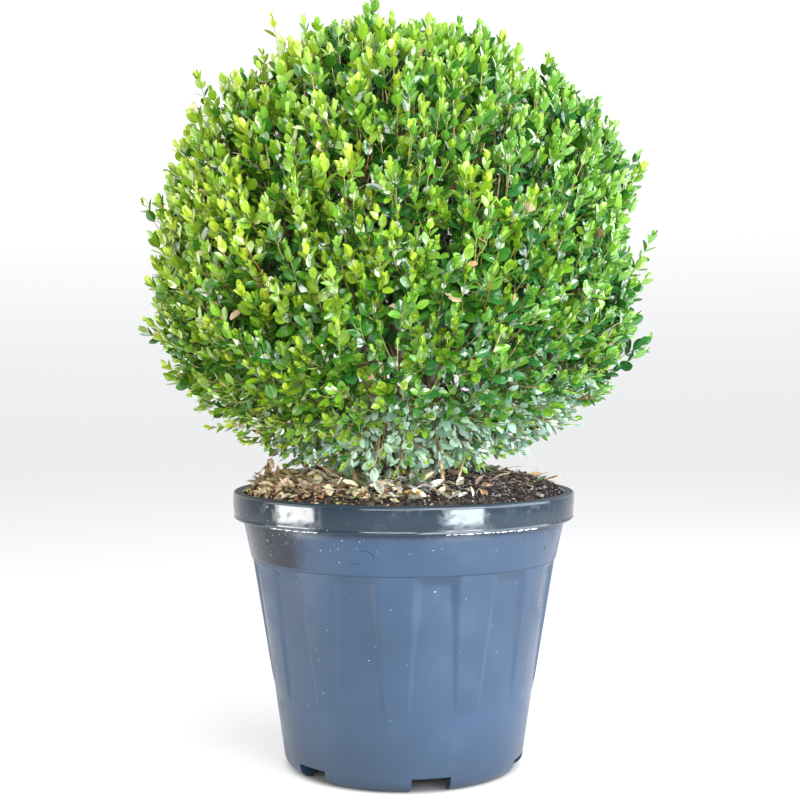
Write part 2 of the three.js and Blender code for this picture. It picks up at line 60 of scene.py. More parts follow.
# Pot
POT_TURN = -3
POT_COLUMNS = 600
WALL_ROWS = 64
FOOT_RADIUS = 120
CORNER_RADIUS = 14
FOOT_HOLLOW = 16
FOOT_RING_RADIUS = 103
FLOOR_TOP = 19
WALL_THICKNESS = 2.4
WALL_TOP_RADIUS = 147
BAND_FOOT = 209
BAND_FOOT_RADIUS = 152
BAND_TOP = 243
BAND_TOP_RADIUS = 159.4
RIM_FOOT = 248
RIM_FOOT_RADIUS = 168.6
RIM_TOP = 274.5
RIM_RADIUS = 170
RIM_BULGE = 0.35
RIM_BEAD = 0.7
RIM_BEAD_HEIGHT = 3.2
SKIRT_THICKNESS = 2.6
SKIRT_ROUND = 0.9
LIP_ROUND = 3.5
MOUTH_RADIUS = 159
NECK_THICKNESS = 1.2
LIP_THICKNESS = 4.5
RIB_COUNT = 12
RIB_FOOT = 74
RIB_FULL = 90
RIB_FULL_DEPTH = 1.4
RIB_TOP_DEPTH = 4
RIB_TOP_HALF_ANGLE = 8.4
RIB_FOOT_HALF_ANGLE = 5.6
RIB_TOP_SIDE_ANGLE = 3.4
RIB_FOOT_SIDE_ANGLE = 1
RECESS_ROOF = 8
GROOVE_HEIGHT = 1.1
GROOVE_DEPTH = 1.1
GROOVE_SLOPE = 0.35
NOTCH_COUNT = 6
NOTCH_HEADING = 12.6
NOTCH_WIDTH = 37.5
NOTCH_HEIGHT = 15
NOTCH_DEPTH = 24
SHARP_ANGLE = 35

# The patch of painted shade on the band at the left: a darker patch that stands in for the rim's shadow
# and a dark reflection
SHADE_PATCH_HEADING = -57
SHADE_PATCH_HEIGHT = 228
SHADE_PATCH_REACH = 76

# Fine dark scratches on the band: heading, height, radius, first angle and last angle
SCRATCHES = (
    (-13, 226, 6.5, -20, 110), (-16, 227, 7, -150, -60), (-55, 236, 6, -120, 60),
    (-50, 240, 9, 150, 250), (58, 222, 5, 20, 90), (142, 231, 8, 0, 100),
    (-128, 224, 7, -60, 40),
)

# The stretches of the rim's lower edge that are drawn white, as headings: rubbed white, and on the two
# front stretches also a painted highlight where the lamps' reflections fall
RIM_RUBS_AND_HIGHLIGHTS = ((-47, -29), (13, 46), (118, 131), (196, 214))
MARK_RUN = (0.5, 3.2)
MARK_GAP = (0.05, 0.6)

# White grains of dust on the pot: how many are dealt out, and where most of them cling
SPECK_COUNT = 7000
SPECK_HEIGHT = 240
SPECK_HEIGHT_SPREAD = 14
SPECK_HEADING = -34
SPECK_HEADING_SPREAD = 26

# Compost
COMPOST_CLEARANCE = 0.4
MOUND_HEIGHT = 289
MOUND_FLAT_RADIUS = 62
MOUND_SHOULDER_RADIUS = 128
MOUND_SHOULDER_DROP = 5
COMPOST_EDGE = 270.5
COMPOST_ROWS = 110
COMPOST_COLUMNS = 330
PLANE_WAVES = 14
LITTER_START = 30
MOSS_COUNT = 1500
MOSS_RING = (126, 156)
MOSS_HEADING = -92
MOSS_SPREAD = 28

# Crown
CROWN = np.array([-7.0, 0.0, 502.0])
CROWN_REACH = 246
CROWN_FOOT_REACH = 230
CROWN_FOOT_ANGLE = 115
CROWN_FOOT_FADE = 30
CROWN_WAVES = 16
REACH_SPREAD = 30
SWELL_HEIGHT = 4
LIMB_REACH = 128
SPRAY_REACH = 150

# The studio's round floor and wall
STAGE_RADIUS = 6000
STAGE_HEIGHT = 5000
STAGE_BEND = 2500
STAGE_COLUMNS = 64

# Stems and boughs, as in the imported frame
SECTOR_COUNT = 6
UPPER_FEED_ANGLE = 64
LOWER_FEED_ANGLE = 112
STEM_RING_RADIUS = 33
STEM_RING_SCATTER = 8
STEM_HEADING_SCATTER = 16
MIDDLE_STEM_FOOT = (4, 3)
STEM_RISE = 0.42
STEM_BEND = 0.3
STEM_FOOT_RADIUS = 8
STEM_TIP_RADIUS = 4.6
STEM_FLARE = 3.2
FLARE_FADE = 22
BOUGH_FORK = 0.34
BOUGH_TURN = 0.45
BOUGH_BEND = 0.4
BOUGH_FOOT_RADIUS = 5.4
BOUGH_TIP_RADIUS = 3.8
STEM_ROWS = 70
STEM_SIDES = 18
STEM_SINK = 6
BOUGH_ROWS = 44
BOUGH_SIDES = 14

# Sprays and shoots: how many, how far down the ball they go, and how they grow
SPRAY_COUNT = 160
SPRAY_FOOT_ANGLE = 150
SPRAY_LAP = 8
SPRAY_OVER_COMPOST = 22
SPRAY_BEND = 0.4
CAP_ANGLE = 40
LOWER_RING_ANGLE = 90
SHOOT_COUNT = 1720
SHOOT_FOOT_ANGLE = 162
SHOOT_TILT = (0.9, 2.2)
SHOOT_GAPS = (0.35, 0.6)
FOOT_TILT_SHARE = 0.4
FOOT_TILT_ANGLE = 95
FOOT_TILT_FADE = 40
TIP_OVER_COMPOST = 3
ROOT_LAG = 0.35
SHOOT_FOOT_BEND = 0.3
SHOOT_TIP_BEND = 0.5
SIDES_PER_SHOOT = 2
SIDE_START = (0.4, 0.84)
SIDE_LENGTH = (22, 48)
SIDE_CLIP = (4, 34)
SIDE_BEND = 0.35
INNER_COUNT = 420
INNER_FOOT_ANGLE = 118
INNER_SHOOT_REACH = (172, 196)
INNER_TILT = (0.2, 0.9)

# Leaves: where the pairs sit down from a shoot's tip, and what changes with that distance
MAIN_DROPS = (0.5, 3, 8, 15, 23, 32, 42, 53, 65)
SIDE_DROPS = (0.5, 3, 8, 15, 24)
INNER_DROPS = (1, 6, 13, 21, 30)
LEAF_OPENING = ([0, 5, 14, 30, 70], [12, 25, 40, 54, 66])
LEAF_LENGTHS = ([0, 3, 8, 16, 30, 70], [6, 9.5, 12, 14, 15.5, 15.5])
LEAF_FOLD = ([0, 14, 40], [0.6, 0.35, -0.2])
LEAF_CURL = ([0, 14, 40], [0.14, 0.02, -0.12])
LEAF_WIDTH = ([0, 20], [0.62, 0.64])
LEAF_POINT = ([4, 30], [0.7, 0.25])
LEAF_LIGHT = ([4, 26], [0.05, 0.75])
LEAF_LOSS = ([16, 30, 60], [0.04, 0.3, 0.55])
LEAF_VIGOUR = (0.84, 1.14)
LIGHT_LIFT = 0.75

# How far down its tip a shoot is young and then fresh, and how much less at the right and below
YOUNG_RUN = (3, 2.4)
YOUNG_START = 2.8
YOUNG_WAVER = 6
AGED_AT_RIGHT = 4.5
AGED_BELOW = 3
FRESH_RUN = (6, 24)
# How far the leaf colours turn cool at the right, which is painted cool light with painted warm light at
# the left, and how much they scatter at random by shoot
PAINTED_COOL_LIGHT_AT_RIGHT = 0.45
COOL_SCATTER = 0.24

# The open foot of the ball, where leaves are fewer and shorter, and its bare middle
OPEN_ANGLE = 106
OPEN_FADE = 26
OPEN_WAVER = 9
OPEN_LOSS = 0.4
OPEN_SHORTENING = 0.2
LEAFLESS_REACH = 150
INNER_REACH = 190

# The mesh of one leaf, and the gloss of its coat
LEAF_POINTS = 13
MIDRIB_POINTS = 5
COAT_ROUGHNESS = 0.12

# Dead leaves, and the pale dust on the leaves low down round the middle
DEAD_SHARE = 0.004
DUST_SPOT = (30, 0)
DUST_REACH = 176
DUST_EDGE = 60
DUST_TOP = 448
DUST_FADE = 115
DUSTY_YOUNG_SHARE = 0.4
DUSTY_SHARE = 0.9

# Sticks in the litter and dry twigs under the crown: foot, tip and thickness
STICKS = (
    ((37, -87, 281), (35, -80, 309), 2.4),
    ((52, -72, 284), (57, -58, 322), 1.6),
    ((138, -8, 276), (162, 4, 288), 0.7),
    ((-84, -70, 305), (-58, -88, 293), 0.8),
    ((-120, -30, 352), (-143, -12, 292), 0.7),
)

# Dry leaves: where they hang along the last stick's curve, and those caught in the crown's foot
HANGING_LEAVES = (0.55, 0.68, 0.8, 0.9, 0.97)
CAUGHT_LEAVES = ((-66, -92, 312), (-68, -106, 350))

# Wide bulges and dips of the clipped surface: heading, polar angle and height
BULGES = (
    (0, 0, -10), (90, 21, 6), (90, 38, -14), (90, 66, 10),
    (90, 82, -19), (90, 108, -3), (90, 137, 20), (-90, 30, -10),
    (-90, 50, 7), (-90, 87, -9), (-90, 110, 10), (-90, 134, 14),
)
BULGE_WIDTH = 0.02

# The shoots that stand out of the clipped outline: heading, polar angle and reach
STRAGGLERS = (
    (-90, 5, 258), (-90, 27, 272), (-90, 47, 272), (90, 66, 264),
    (90, 69, 262), (90, 84, 257), (90, 107, 262), (90, 110, 262),
    (-90, 77, 258), (-90, 105, 262), (-90, 131, 252), (180, 62, 258),
)


# Numbers and vectors


def lerp(a, b, share):
    return a + (b - a) * share


def smooth_step(share):
    """0 below 0 and 1 above 1, with a smooth rise between them."""
    share = np.clip(share, 0, 1)
    return share * share * (3 - 2 * share)


def unit(vectors):
    return vectors / np.maximum(np.linalg.norm(vectors, axis=-1, keepdims=True), 1e-9)


def around(heading, distance, height):
    """The point at a heading, a distance from the pot's axis and a height."""
    turn = np.radians(heading)
    point = (distance * np.sin(turn), -distance * np.cos(turn), height + 0 * turn)
    return np.stack(np.broadcast_arrays(*point), axis=-1).astype(float)


def heading_of(points):
    return np.degrees(np.arctan2(points[:, 0], -points[:, 1]))


def outward(heading, polar):
    """The direction from the crown's centre at a heading and a polar angle."""
    fall = np.radians(polar)
    return around(heading, np.sin(fall), np.cos(fall))


def packed_random(seed):
    """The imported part's own repeatable random numbers from 0 to 1, which place the stems' feet."""
    state = seed
    word = 0xFFFFFFFF
    while True:
        state = (state + 0x6D2B79F5) & word
        mixed = ((state ^ (state >> 15)) * (1 | state)) & word
        mixed = ((mixed + (((mixed ^ (mixed >> 7)) * (61 | mixed)) & word)) ^ mixed) & word
        yield (mixed ^ (mixed >> 14)) / (word + 1)


# Meshes


def new_piece(name, points, faces, material, smooth=True):
    """A mesh from points in millimetres and rows of three or four corners."""
    points = np.asarray(points, np.float32) * MM
    faces = np.asarray(faces, np.int32)
    mesh = bpy.data.meshes.new(name)
    mesh.vertices.add(len(points))
    mesh.vertices.foreach_set("co", points.ravel())
    mesh.loops.add(faces.size)
    mesh.loops.foreach_set("vertex_index", faces.ravel())
    mesh.polygons.add(len(faces))
    starts = np.arange(len(faces), dtype=np.int32) * faces.shape[1]
    mesh.polygons.foreach_set("loop_start", starts)
    mesh.polygons.foreach_set("use_smooth", np.full(len(faces), smooth))
    mesh.update(calc_edges=True)
    mesh.materials.append(material)
    piece = bpy.data.objects.new(name, mesh)
    bpy.context.scene.collection.objects.link(piece)
    return piece


def grid_faces(rows, columns):
    """Quads between rows of points round an axis, in which the last point joins the first."""
    row, column = np.meshgrid(np.arange(rows - 1), np.arange(columns), indexing="ij")
    a = row * columns + column
    b = row * columns + (column + 1) % columns
    return np.stack([a, b, b + columns, a + columns], axis=-1).reshape(-1, 4)


def triangles(quads):
    return np.concatenate([quads[:, [0, 1, 2]], quads[:, [0, 2, 3]]])


def closed_form(rows, first, last, downward=False):
    """Points and triangles of rows of points round the axis, with a fan from each end to a point."""
    count, columns = rows.shape[:2]
    quads = grid_faces(count, columns)
    middle = np.full(columns, count * columns)
    column = np.arange(columns)
    pair = [(column + 1) % columns, column]
    if downward:
        quads, pair = quads[:, ::-1], pair[::-1]
    top = (count - 1) * columns
    fans = [(middle, *pair), (middle + 1, top + pair[1], top + pair[0])]
    faces = [triangles(quads), *(np.stack(fan, axis=-1) for fan in fans)]
    return np.concatenate([rows.reshape(-1, 3), [first, last]]), np.concatenate(faces)


def copies_of(shape, faces, count):
    """The faces of many copies of one shape that has this many points."""
    step = np.arange(count)[:, None, None] * shape
    return (faces[None] + step).reshape(-1, faces.shape[1])


def laid_out(places, axes, shapes):
    """Points of many small shapes, each given by its place, three axes and measures along them."""
    points = places[:, None]
    for axis, measure in zip(axes, shapes):
        points = points + measure[..., None] * axis[:, None]
    return points


def curve(root, leaving, arriving, tip):
    """The four control points of a cubic curve, from its ends and the pull at each end."""
    return np.stack([root, root + leaving, tip - arriving, tip], axis=-2)


def bezier(controls, t):
    """Points and directions at t, of shape (m) or (n, m), on n cubic curves of four points each."""
    t = np.atleast_2d(t)[..., None]
    a, b, c, d = (controls[:, None, k] for k in range(4))
    places = a * (1 - t) ** 3 + 3 * b * t * (1 - t) ** 2 + 3 * c * t * t * (1 - t) + d * t**3
    runs = 3 * (b - a) * (1 - t) ** 2 + 6 * (c - b) * t * (1 - t) + 3 * (d - c) * t * t
    return places, unit(runs)


def tubes(centres, directions, radii, sides):
    """Points and triangles of many limbs with closed ends: centres (n, steps, 3), radii (n, steps)."""
    count, steps = radii.shape
    normal = unit(np.cross(directions[:, 0], [0.31, 0.22, 0.92]))
    rings = np.empty((count, steps, sides, 3))
    turn = np.arange(sides) / sides * 2 * np.pi
    for step in range(steps):
        along = directions[:, step]
        normal = unit(normal - along * np.sum(normal * along, -1, keepdims=True))
        binormal = np.cross(along, normal)
        spoke = np.cos(turn)[:, None] * normal[:, None] + np.sin(turn)[:, None] * binormal[:, None]
        rings[:, step] = centres[:, step, None] + spoke * radii[:, step, None, None]
    fan = np.array([[0, k + 1, k] for k in range(1, sides - 1)])
    last = (steps - 1) * sides
    shape = np.concatenate([triangles(grid_faces(steps, sides)), fan, last + fan[:, ::-1]])
    return rings.reshape(-1, 3), copies_of(steps * sides, shape, count)


def settle(piece, slot, *nodes):
    """Puts a piece on the one body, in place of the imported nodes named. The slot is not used."""
    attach(piece, "root")
    if nodes:
        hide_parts(*nodes)


def add_piece(name, shape, material, slot, *nodes, smooth=True):
    piece = new_piece(name, *shape, material, smooth)
    settle(piece, slot, *nodes)
    return piece


# Materials


def shade(red, green, blue):
    """A colour from screen values of 0 to 255."""
    channel = np.array([red, green, blue]) / 255
    linear = np.where(channel <= 0.04045, channel / 12.92, ((channel + 0.055) / 1.055) ** 2.4)
    return (*linear, 1)


class Look:
    """One Principled material and short ways to add nodes to it."""

    def __init__(self, name, colour, roughness, specular=0.5, coat=0):
        self.material = bpy.data.materials.new(name)
        self.material.use_nodes = True
        self.tree = self.material.node_tree
        self.shader = self.tree.nodes["Principled BSDF"]
        constants = {
            "Base Color": colour,
            "Roughness": roughness,
            "Specular IOR Level": specular,
            "Coat Weight": coat,
            "Coat Roughness": COAT_ROUGHNESS,
        }
        for socket, value in constants.items():
            self.shader.inputs[socket].default_value = value
        self.place = self.add("ShaderNodeTexCoord").outputs["Object"]

    def add(self, kind, links=(), **settings):
        node = self.tree.nodes.new(kind)
        for key, value in settings.items():
            setattr(node, key, value)
        for key, value in dict(links).items():
            if isinstance(value, bpy.types.NodeSocket):
                self.tree.links.new(value, node.inputs[key])
            else:
                node.inputs[key].default_value = value
        return node

    def link(self, output, socket):
        self.tree.links.new(output, self.shader.inputs[socket])

    def noise(self, scale, detail, place=None):
        links = {"Vector": place or self.place, "Scale": scale, "Detail": detail}
        return self.add("ShaderNodeTexNoise", links).outputs["Fac"]

    def split(self):
        """The place's three measures."""
        return self.add("ShaderNodeSeparateXYZ", {"Vector": self.place}).outputs

    def ramp(self, value, low, high, start=0, end=1):
        """A value that goes from start to end as the given one goes from low to high."""
        links = {"Value": value, "From Min": low, "From Max": high, "To Min": start, "To Max": end}
        return self.add("ShaderNodeMapRange", links, interpolation_type="SMOOTHSTEP").outputs[0]

    def maths(self, operation, first, second):
        return self.add("ShaderNodeMath", {0: first, 1: second}, operation=operation).outputs[0]

    def vectors(self, operation, first, second, output):
        links = {0: first, 1: second}
        return self.add("ShaderNodeVectorMath", links, operation=operation).outputs[output]

    def mix(self, share, first, second):
        return self.add("ShaderNodeMix", {0: share, 6: first, 7: second}, data_type="RGBA").outputs[2]

    def bump(self, height, distance, strength):
        links = {"Height": height, "Distance": distance * MM, "Strength": strength}
        self.link(self.add("ShaderNodeBump", links).outputs["Normal"], "Normal")


def grained(
    name, low, high, scale, detail=6, bounds=(0.35, 0.65), finish=(0.95, 0.2), bump=(1.6, 0.9)
):
    """A dull look with grains from a dark colour to a light one."""
    look = Look(name, shade(*low), *finish)
    grain = look.noise(scale, detail)
    look.link(look.mix(look.ramp(grain, *bounds), shade(*low), shade(*high)), "Base Color")
    if bump:
        look.bump(look.noise(scale * 2.2, 6), *bump)
    return look.material


# Camera


def make_camera():
    camera = bpy.data.objects.new("camera", bpy.data.cameras.new("camera"))
    bpy.context.scene.collection.objects.link(camera)
    camera.data.sensor_width = CAMERA_SENSOR
    camera.data.lens = CAMERA_LENS
    camera.location = Vector((0, -CAMERA_DISTANCE, CAMERA_HEIGHT)) * MM
    pitch = math.radians(90 - CAMERA_PITCH)
    camera.rotation_euler = (pitch, 0, math.radians(CAMERA_YAW))
    bpy.context.scene.camera = camera


# Pot


def wall_radius(height):
    share = (height - CORNER_RADIUS) / (BAND_FOOT - CORNER_RADIUS)
    return lerp(FOOT_RADIUS, WALL_TOP_RADIUS, share)


def band_radius(height):
    return lerp(BAND_FOOT_RADIUS, BAND_TOP_RADIUS, (height - BAND_FOOT) / (BAND_TOP - BAND_FOOT))


def rim_radius(height):
    return lerp(RIM_FOOT_RADIUS, RIM_RADIUS, (height - RIM_FOOT) / (RIM_TOP - RIM_FOOT))


def arc(radius, height, size, start, end, steps):
    """Profile points on a round corner, given its centre, its size and its end angles from level."""
    turn = np.radians(np.linspace(start, end, steps))
    return np.stack([radius + size * np.cos(turn), height + size * np.sin(turn)], axis=-1)


def flute_height(heading, height):
    """How far the ribs raise the wall, with sloped sides, a roof to each recess and a faded foot."""
    pitch = 360 / RIB_COUNT
    off = np.abs((heading - POT_TURN + pitch / 2) % pitch - pitch / 2)
    half = np.interp(height, [RIB_FULL, BAND_FOOT], [RIB_FOOT_HALF_ANGLE, RIB_TOP_HALF_ANGLE])
    slope = np.interp(height, [RIB_FULL, BAND_FOOT], [RIB_FOOT_SIDE_ANGLE, RIB_TOP_SIDE_ANGLE])
    side = np.clip((half + slope / 2 - off) / slope, 0, 1)
    side = lerp(side, smooth_step(side), 0.5)
    roof = smooth_step((height - BAND_FOOT + RECESS_ROOF) / (RECESS_ROOF - 1))
    share = 1 - (1 - side) * (1 - roof)
    heights = [RIB_FOOT, RIB_FULL, BAND_FOOT]
    depth = np.interp(height, heights, [0, RIB_FULL_DEPTH, RIB_TOP_DEPTH])
    in_flutes = (height > RIB_FOOT) & (height <= BAND_FOOT - GROOVE_HEIGHT)
    return np.where(in_flutes, share * depth, 0)


def pot_profile():
    """The pot's section, from its raised underside round the foot ring, up and down the inside."""
    hollow = [(FOOT_RING_RADIUS, FOOT_HOLLOW), (FOOT_RING_RADIUS, 0)]
    corner = arc(FOOT_RADIUS - CORNER_RADIUS, CORNER_RADIUS, CORNER_RADIUS, -90, 0, 9)
    heights = np.linspace(CORNER_RADIUS, BAND_FOOT - GROOVE_HEIGHT, WALL_ROWS)[1:]
    wall = np.stack([wall_radius(heights), heights], axis=-1)
    groove = BAND_FOOT_RADIUS - GROOVE_DEPTH
    band_lip = [
        (groove - GROOVE_HEIGHT * GROOVE_SLOPE, BAND_FOOT - GROOVE_HEIGHT + 0.01),
        (groove, BAND_FOOT),
        (BAND_FOOT_RADIUS, BAND_FOOT + 0.2),
    ]
    heights = np.linspace(BAND_FOOT + 1, BAND_TOP, 8)
    band = np.stack([band_radius(heights), heights], axis=-1)
    gap = RIM_FOOT_RADIUS - SKIRT_THICKNESS
    under = [(MOUTH_RADIUS + NECK_THICKNESS, RIM_TOP - LIP_THICKNESS), (gap, RIM_TOP - LIP_THICKNESS)]
    inner_foot = arc(gap + SKIRT_ROUND, RIM_FOOT + SKIRT_ROUND, SKIRT_ROUND, 180, 270, 4)
    outer_foot = arc(RIM_FOOT_RADIUS - SKIRT_ROUND, RIM_FOOT + SKIRT_ROUND, SKIRT_ROUND, -90, 0, 4)
    heights = np.linspace(RIM_FOOT + SKIRT_ROUND, RIM_TOP - LIP_ROUND, 30)[1:]
    share = (heights - RIM_FOOT) / (RIM_TOP - RIM_FOOT)
    bead = np.exp(-(((heights - RIM_FOOT - RIM_BEAD_HEIGHT / 2) / (RIM_BEAD_HEIGHT / 3)) ** 2))
    bulge = RIM_BULGE * np.sin(np.pi * share) + RIM_BEAD * bead
    face = np.stack([rim_radius(heights) + bulge, heights], axis=-1)
    lip_out = arc(RIM_RADIUS - LIP_ROUND, RIM_TOP - LIP_ROUND, LIP_ROUND, 10, 90, 7)
    lip_in = arc(MOUTH_RADIUS + LIP_ROUND, RIM_TOP - LIP_ROUND, LIP_ROUND, 90, 180, 7)
    inside = [
        (BAND_TOP_RADIUS - WALL_THICKNESS, BAND_TOP),
        (WALL_TOP_RADIUS - WALL_THICKNESS, BAND_FOOT - 3),
        (wall_radius(FLOOR_TOP + 5) - WALL_THICKNESS, FLOOR_TOP + 5),
        (FOOT_RADIUS - CORNER_RADIUS, FLOOR_TOP),
    ]
    outside = [hollow, corner, wall, band_lip, band, under]
    rim = [inner_foot, outer_foot, face, lip_out, lip_in]
    return np.concatenate([*outside, *rim, inside])


def notch_cutters():
    """One mesh of boxes that cut the drain notches through the foot of the wall."""
    corners = [(-1, -1), (1, -1), (1, 1), (-1, 1)]
    points = []
    for k in range(NOTCH_COUNT):
        heading = NOTCH_HEADING + k * 360 / NOTCH_COUNT
        out, across = around(heading, 1, 0), around(heading + 90, 1, 0)
        for depth in (-NOTCH_DEPTH, NOTCH_DEPTH):
            for side, level in corners:
                spot = out * (FOOT_RADIUS + depth) + across * (NOTCH_WIDTH / 2) * side
                points.append(spot + UP * (NOTCH_HEIGHT * level))
    box = [(3, 2, 1, 0), (4, 5, 6, 7), (1, 5, 4, 0), (2, 6, 5, 1), (3, 7, 6, 2), (0, 4, 7, 3)]
    return np.array(points), copies_of(8, np.array(box), NOTCH_COUNT)


def pot_look():
    """Dark blue-grey plastic, glossier on the rim and darker and greyer there as painted shade, with
    cloudy scuffs and a patch of painted shade on the band at the left.
    """
    look = Look("pot_plastic", shade(54, 74, 103), 0.3)
    height = look.split()["Z"]
    on_rim = look.ramp(height, (BAND_TOP - 2) * MM, (RIM_FOOT + 1) * MM)
    cloud = look.ramp(look.noise(8, 5), 0.3, 0.7)
    wall = look.mix(cloud, shade(37, 54, 73), shade(42, 61, 83))
    foot = look.ramp(height, 0, RIB_FOOT * MM, 0.5, 0)
    wall = look.mix(foot, wall, shade(29, 43, 57))
    # Painted shade: a near-black patch on the band at the left stands in for the rim's shadow and a dark
    # reflection; it is also made glossier
    spot = Vector(around(SHADE_PATCH_HEADING, BAND_FOOT_RADIUS, SHADE_PATCH_HEIGHT)) * MM
    away = look.vectors("DISTANCE", look.place, spot, "Value")
    away = look.maths("ADD", away, look.ramp(look.noise(60, 5), 0.3, 0.7, -0.005, 0.005))
    painted_shade = look.ramp(away, SHADE_PATCH_REACH * MM * 0.35, SHADE_PATCH_REACH * MM, 0.95, 0)
    on_band = look.ramp(height, BAND_FOOT * MM, (BAND_FOOT + 3) * MM)
    painted_shade = look.maths("MULTIPLY", painted_shade, on_band)
    wall = look.mix(painted_shade, wall, shade(6, 16, 26))
    # Painted shade: the rim gets a darker colour than the wall, standing in for the dark reflections
    # that the rim catches
    rim = look.mix(cloud, shade(16, 29, 38), shade(23, 36, 46))
    look.link(look.mix(on_rim, wall, rim), "Base Color")
    scuffs = look.ramp(look.noise(34, 7), 0.42, 0.72, 0.28, 0.42)
    scuffs = look.mix(painted_shade, scuffs, (0.12, 0.12, 0.12, 1))
    worn = look.ramp(look.noise(110, 6), 0.45, 0.7, 0.1, 0.32)
    dull = look.ramp(height, (RIM_TOP - 1.5) * MM, (RIM_TOP - 0.2) * MM)
    worn = look.mix(dull, worn, (0.6, 0.6, 0.6, 1))
    look.link(look.mix(on_rim, scuffs, worn), "Roughness")
    look.bump(look.noise(120, 5), 0.25, 0.2)
    return look.material


def rim_rubs_and_highlights():
    """Broken white rub marks along the rim's lower edge, which on the front are also a painted highlight
    of the lamps' reflections there.
    """
    random = np.random.default_rng(SEED + 10)
    marks = []
    for at, last in RIM_RUBS_AND_HIGHLIGHTS:
        while at < last:
            run = random.uniform(*MARK_RUN)
            marks.append((at, run))
            at += run + random.uniform(*MARK_GAP)
    shares = np.linspace(0, 1, 7)
    starts, runs = np.array(marks).T[..., None]
    heading = starts + runs * shares
    radius = RIM_FOOT_RADIUS + random.uniform(-0.05, 0.2, heading.shape)
    height = RIM_FOOT + 0.7 + random.uniform(-0.35, 0.35, heading.shape)
    centres = around(heading, radius, height)
    directions = around(heading + 90, 1, 0)
    thick = random.uniform(0.25, 0.6, (len(starts), 1)) * np.sin(np.pi * lerp(0.12, 0.88, shares))
    # Painted highlight in part: the front marks stand where the lamps' reflections fall on the rim's
    # lower edge
    look = grained("rubs_and_highlight", (222, 228, 234), (250, 252, 254), 700)
    add_piece("rim_rubs_and_highlight", tubes(centres, directions, thick, 5), look, "pot_plastic")


def dust_specks():
    """White grains of dust that cling to the pot, most of them under the rim at the left."""
    random = np.random.default_rng(SEED + 9)
    heading = random.uniform(-180, 180, SPECK_COUNT)
    height = random.uniform(12, RIM_TOP - 5, SPECK_COUNT)
    under_rim = np.exp(-(((height - SPECK_HEIGHT) / SPECK_HEIGHT_SPREAD) ** 2))
    at_left = np.exp(-(((heading - SPECK_HEADING) / SPECK_HEADING_SPREAD) ** 2))
    likely = 0.012 + 0.06 * under_rim + 0.5 * under_rim * at_left
    chosen = random.random(SPECK_COUNT) < likely
    heading, height = heading[chosen], height[chosen]
    radius = wall_radius(height) + flute_height(heading, height)
    on_band = np.minimum(band_radius(height), BAND_TOP_RADIUS)
    radius = np.where(height > BAND_FOOT, on_band, radius)
    radius = np.where(height > RIM_FOOT, rim_radius(height) + 0.2, radius)
    places = around(heading, radius + 0.05, height)
    sizes = random.lognormal(-0.35, 0.4, len(places))
    look = grained("dust", (214, 220, 226), (246, 248, 250), 900)
    add_piece("dust_specks", blobs(random, places, sizes, (1.2, 1, 0.8), 0.2), look, "compost")


def scratches():
    """Fine dark curved scratches on the band under the rim."""
    marks = np.array(SCRATCHES, float)[:, :, None]
    heading, height, radius, first, last = (marks[:, k] for k in range(5))
    shares = np.linspace(0, 1, 12)
    turn = np.radians(lerp(first, last, shares))
    height = height + radius * np.sin(turn)
    distance = band_radius(height)
    heading = heading + np.degrees(radius * np.cos(turn) * 1.3 / distance)
    centres = around(heading, distance, height)
    directions = unit(np.gradient(centres, axis=1))
    thick = 0.05 + 0.25 * np.sin(np.pi * lerp(0.05, 0.95, shares)) + np.zeros(heading.shape)
    look = grained("scratch_marks", (24, 36, 50), (34, 48, 64), 700)
    add_piece("pot_scratches", tubes(centres, directions, thick, 5), look, "pot_plastic")


def make_pot():
    profile = pot_profile()
    heading = np.arange(POT_COLUMNS) / POT_COLUMNS * 360
    radius, height = (profile[:, k, None] + np.zeros(POT_COLUMNS) for k in (0, 1))
    outside = radius > wall_radius(height) - 1
    radius = radius + np.where(outside, flute_height(heading, height), 0)
    shape = closed_form(around(heading, radius, height), (0, 0, FOOT_HOLLOW), (0, 0, FLOOR_TOP))
    pot = new_piece("pot_shell", *shape, pot_look())
    cutter = new_piece("notch_cutters", *notch_cutters(), pot.data.materials[0])
    cut = pot.modifiers.new("notches", "BOOLEAN")
    cut.solver = "MANIFOLD"
    cut.object = cutter
    graph = bpy.context.evaluated_depsgraph_get()
    pot.data = bpy.data.meshes.new_from_object(pot.evaluated_get(graph))
    pot.modifiers.clear()
    bpy.data.objects.remove(cutter)
    pot.data.polygons.foreach_set("use_smooth", np.full(len(pot.data.polygons), True))
    pot.data.set_sharp_from_angle(angle=math.radians(SHARP_ANGLE))
    settle(pot, "pot_plastic", "pot")
    dust_specks()
    rim_rubs_and_highlights()
    scratches()


# Compost and litter


def waves(places, size, seed):
    """Smooth bumps of about this size, from -1 to 1, as a sum of plane waves."""
    random = np.random.default_rng(seed)
    turn = random.uniform(0, 2 * np.pi, PLANE_WAVES)
    pitch = size * random.uniform(0.7, 1.5, PLANE_WAVES)
    start = random.uniform(0, 2 * np.pi, PLANE_WAVES)
    x, y = places[..., 0, None], places[..., 1, None]
    phase = (x * np.cos(turn) + y * np.sin(turn)) * 2 * np.pi / pitch + start
    return np.sin(phase).mean(-1) * 2


def mouth_radius(height):
    """The inside of the pot at a height, less the compost's clearance."""
    heights = [CORNER_RADIUS, BAND_FOOT - 3, BAND_TOP, RIM_TOP - LIP_ROUND]
    inside = [
        FOOT_RADIUS - WALL_THICKNESS,
        WALL_TOP_RADIUS - WALL_THICKNESS,
        BAND_TOP_RADIUS - WALL_THICKNESS,
        MOUTH_RADIUS,
    ]
    return np.interp(height, heights, inside) - COMPOST_CLEARANCE


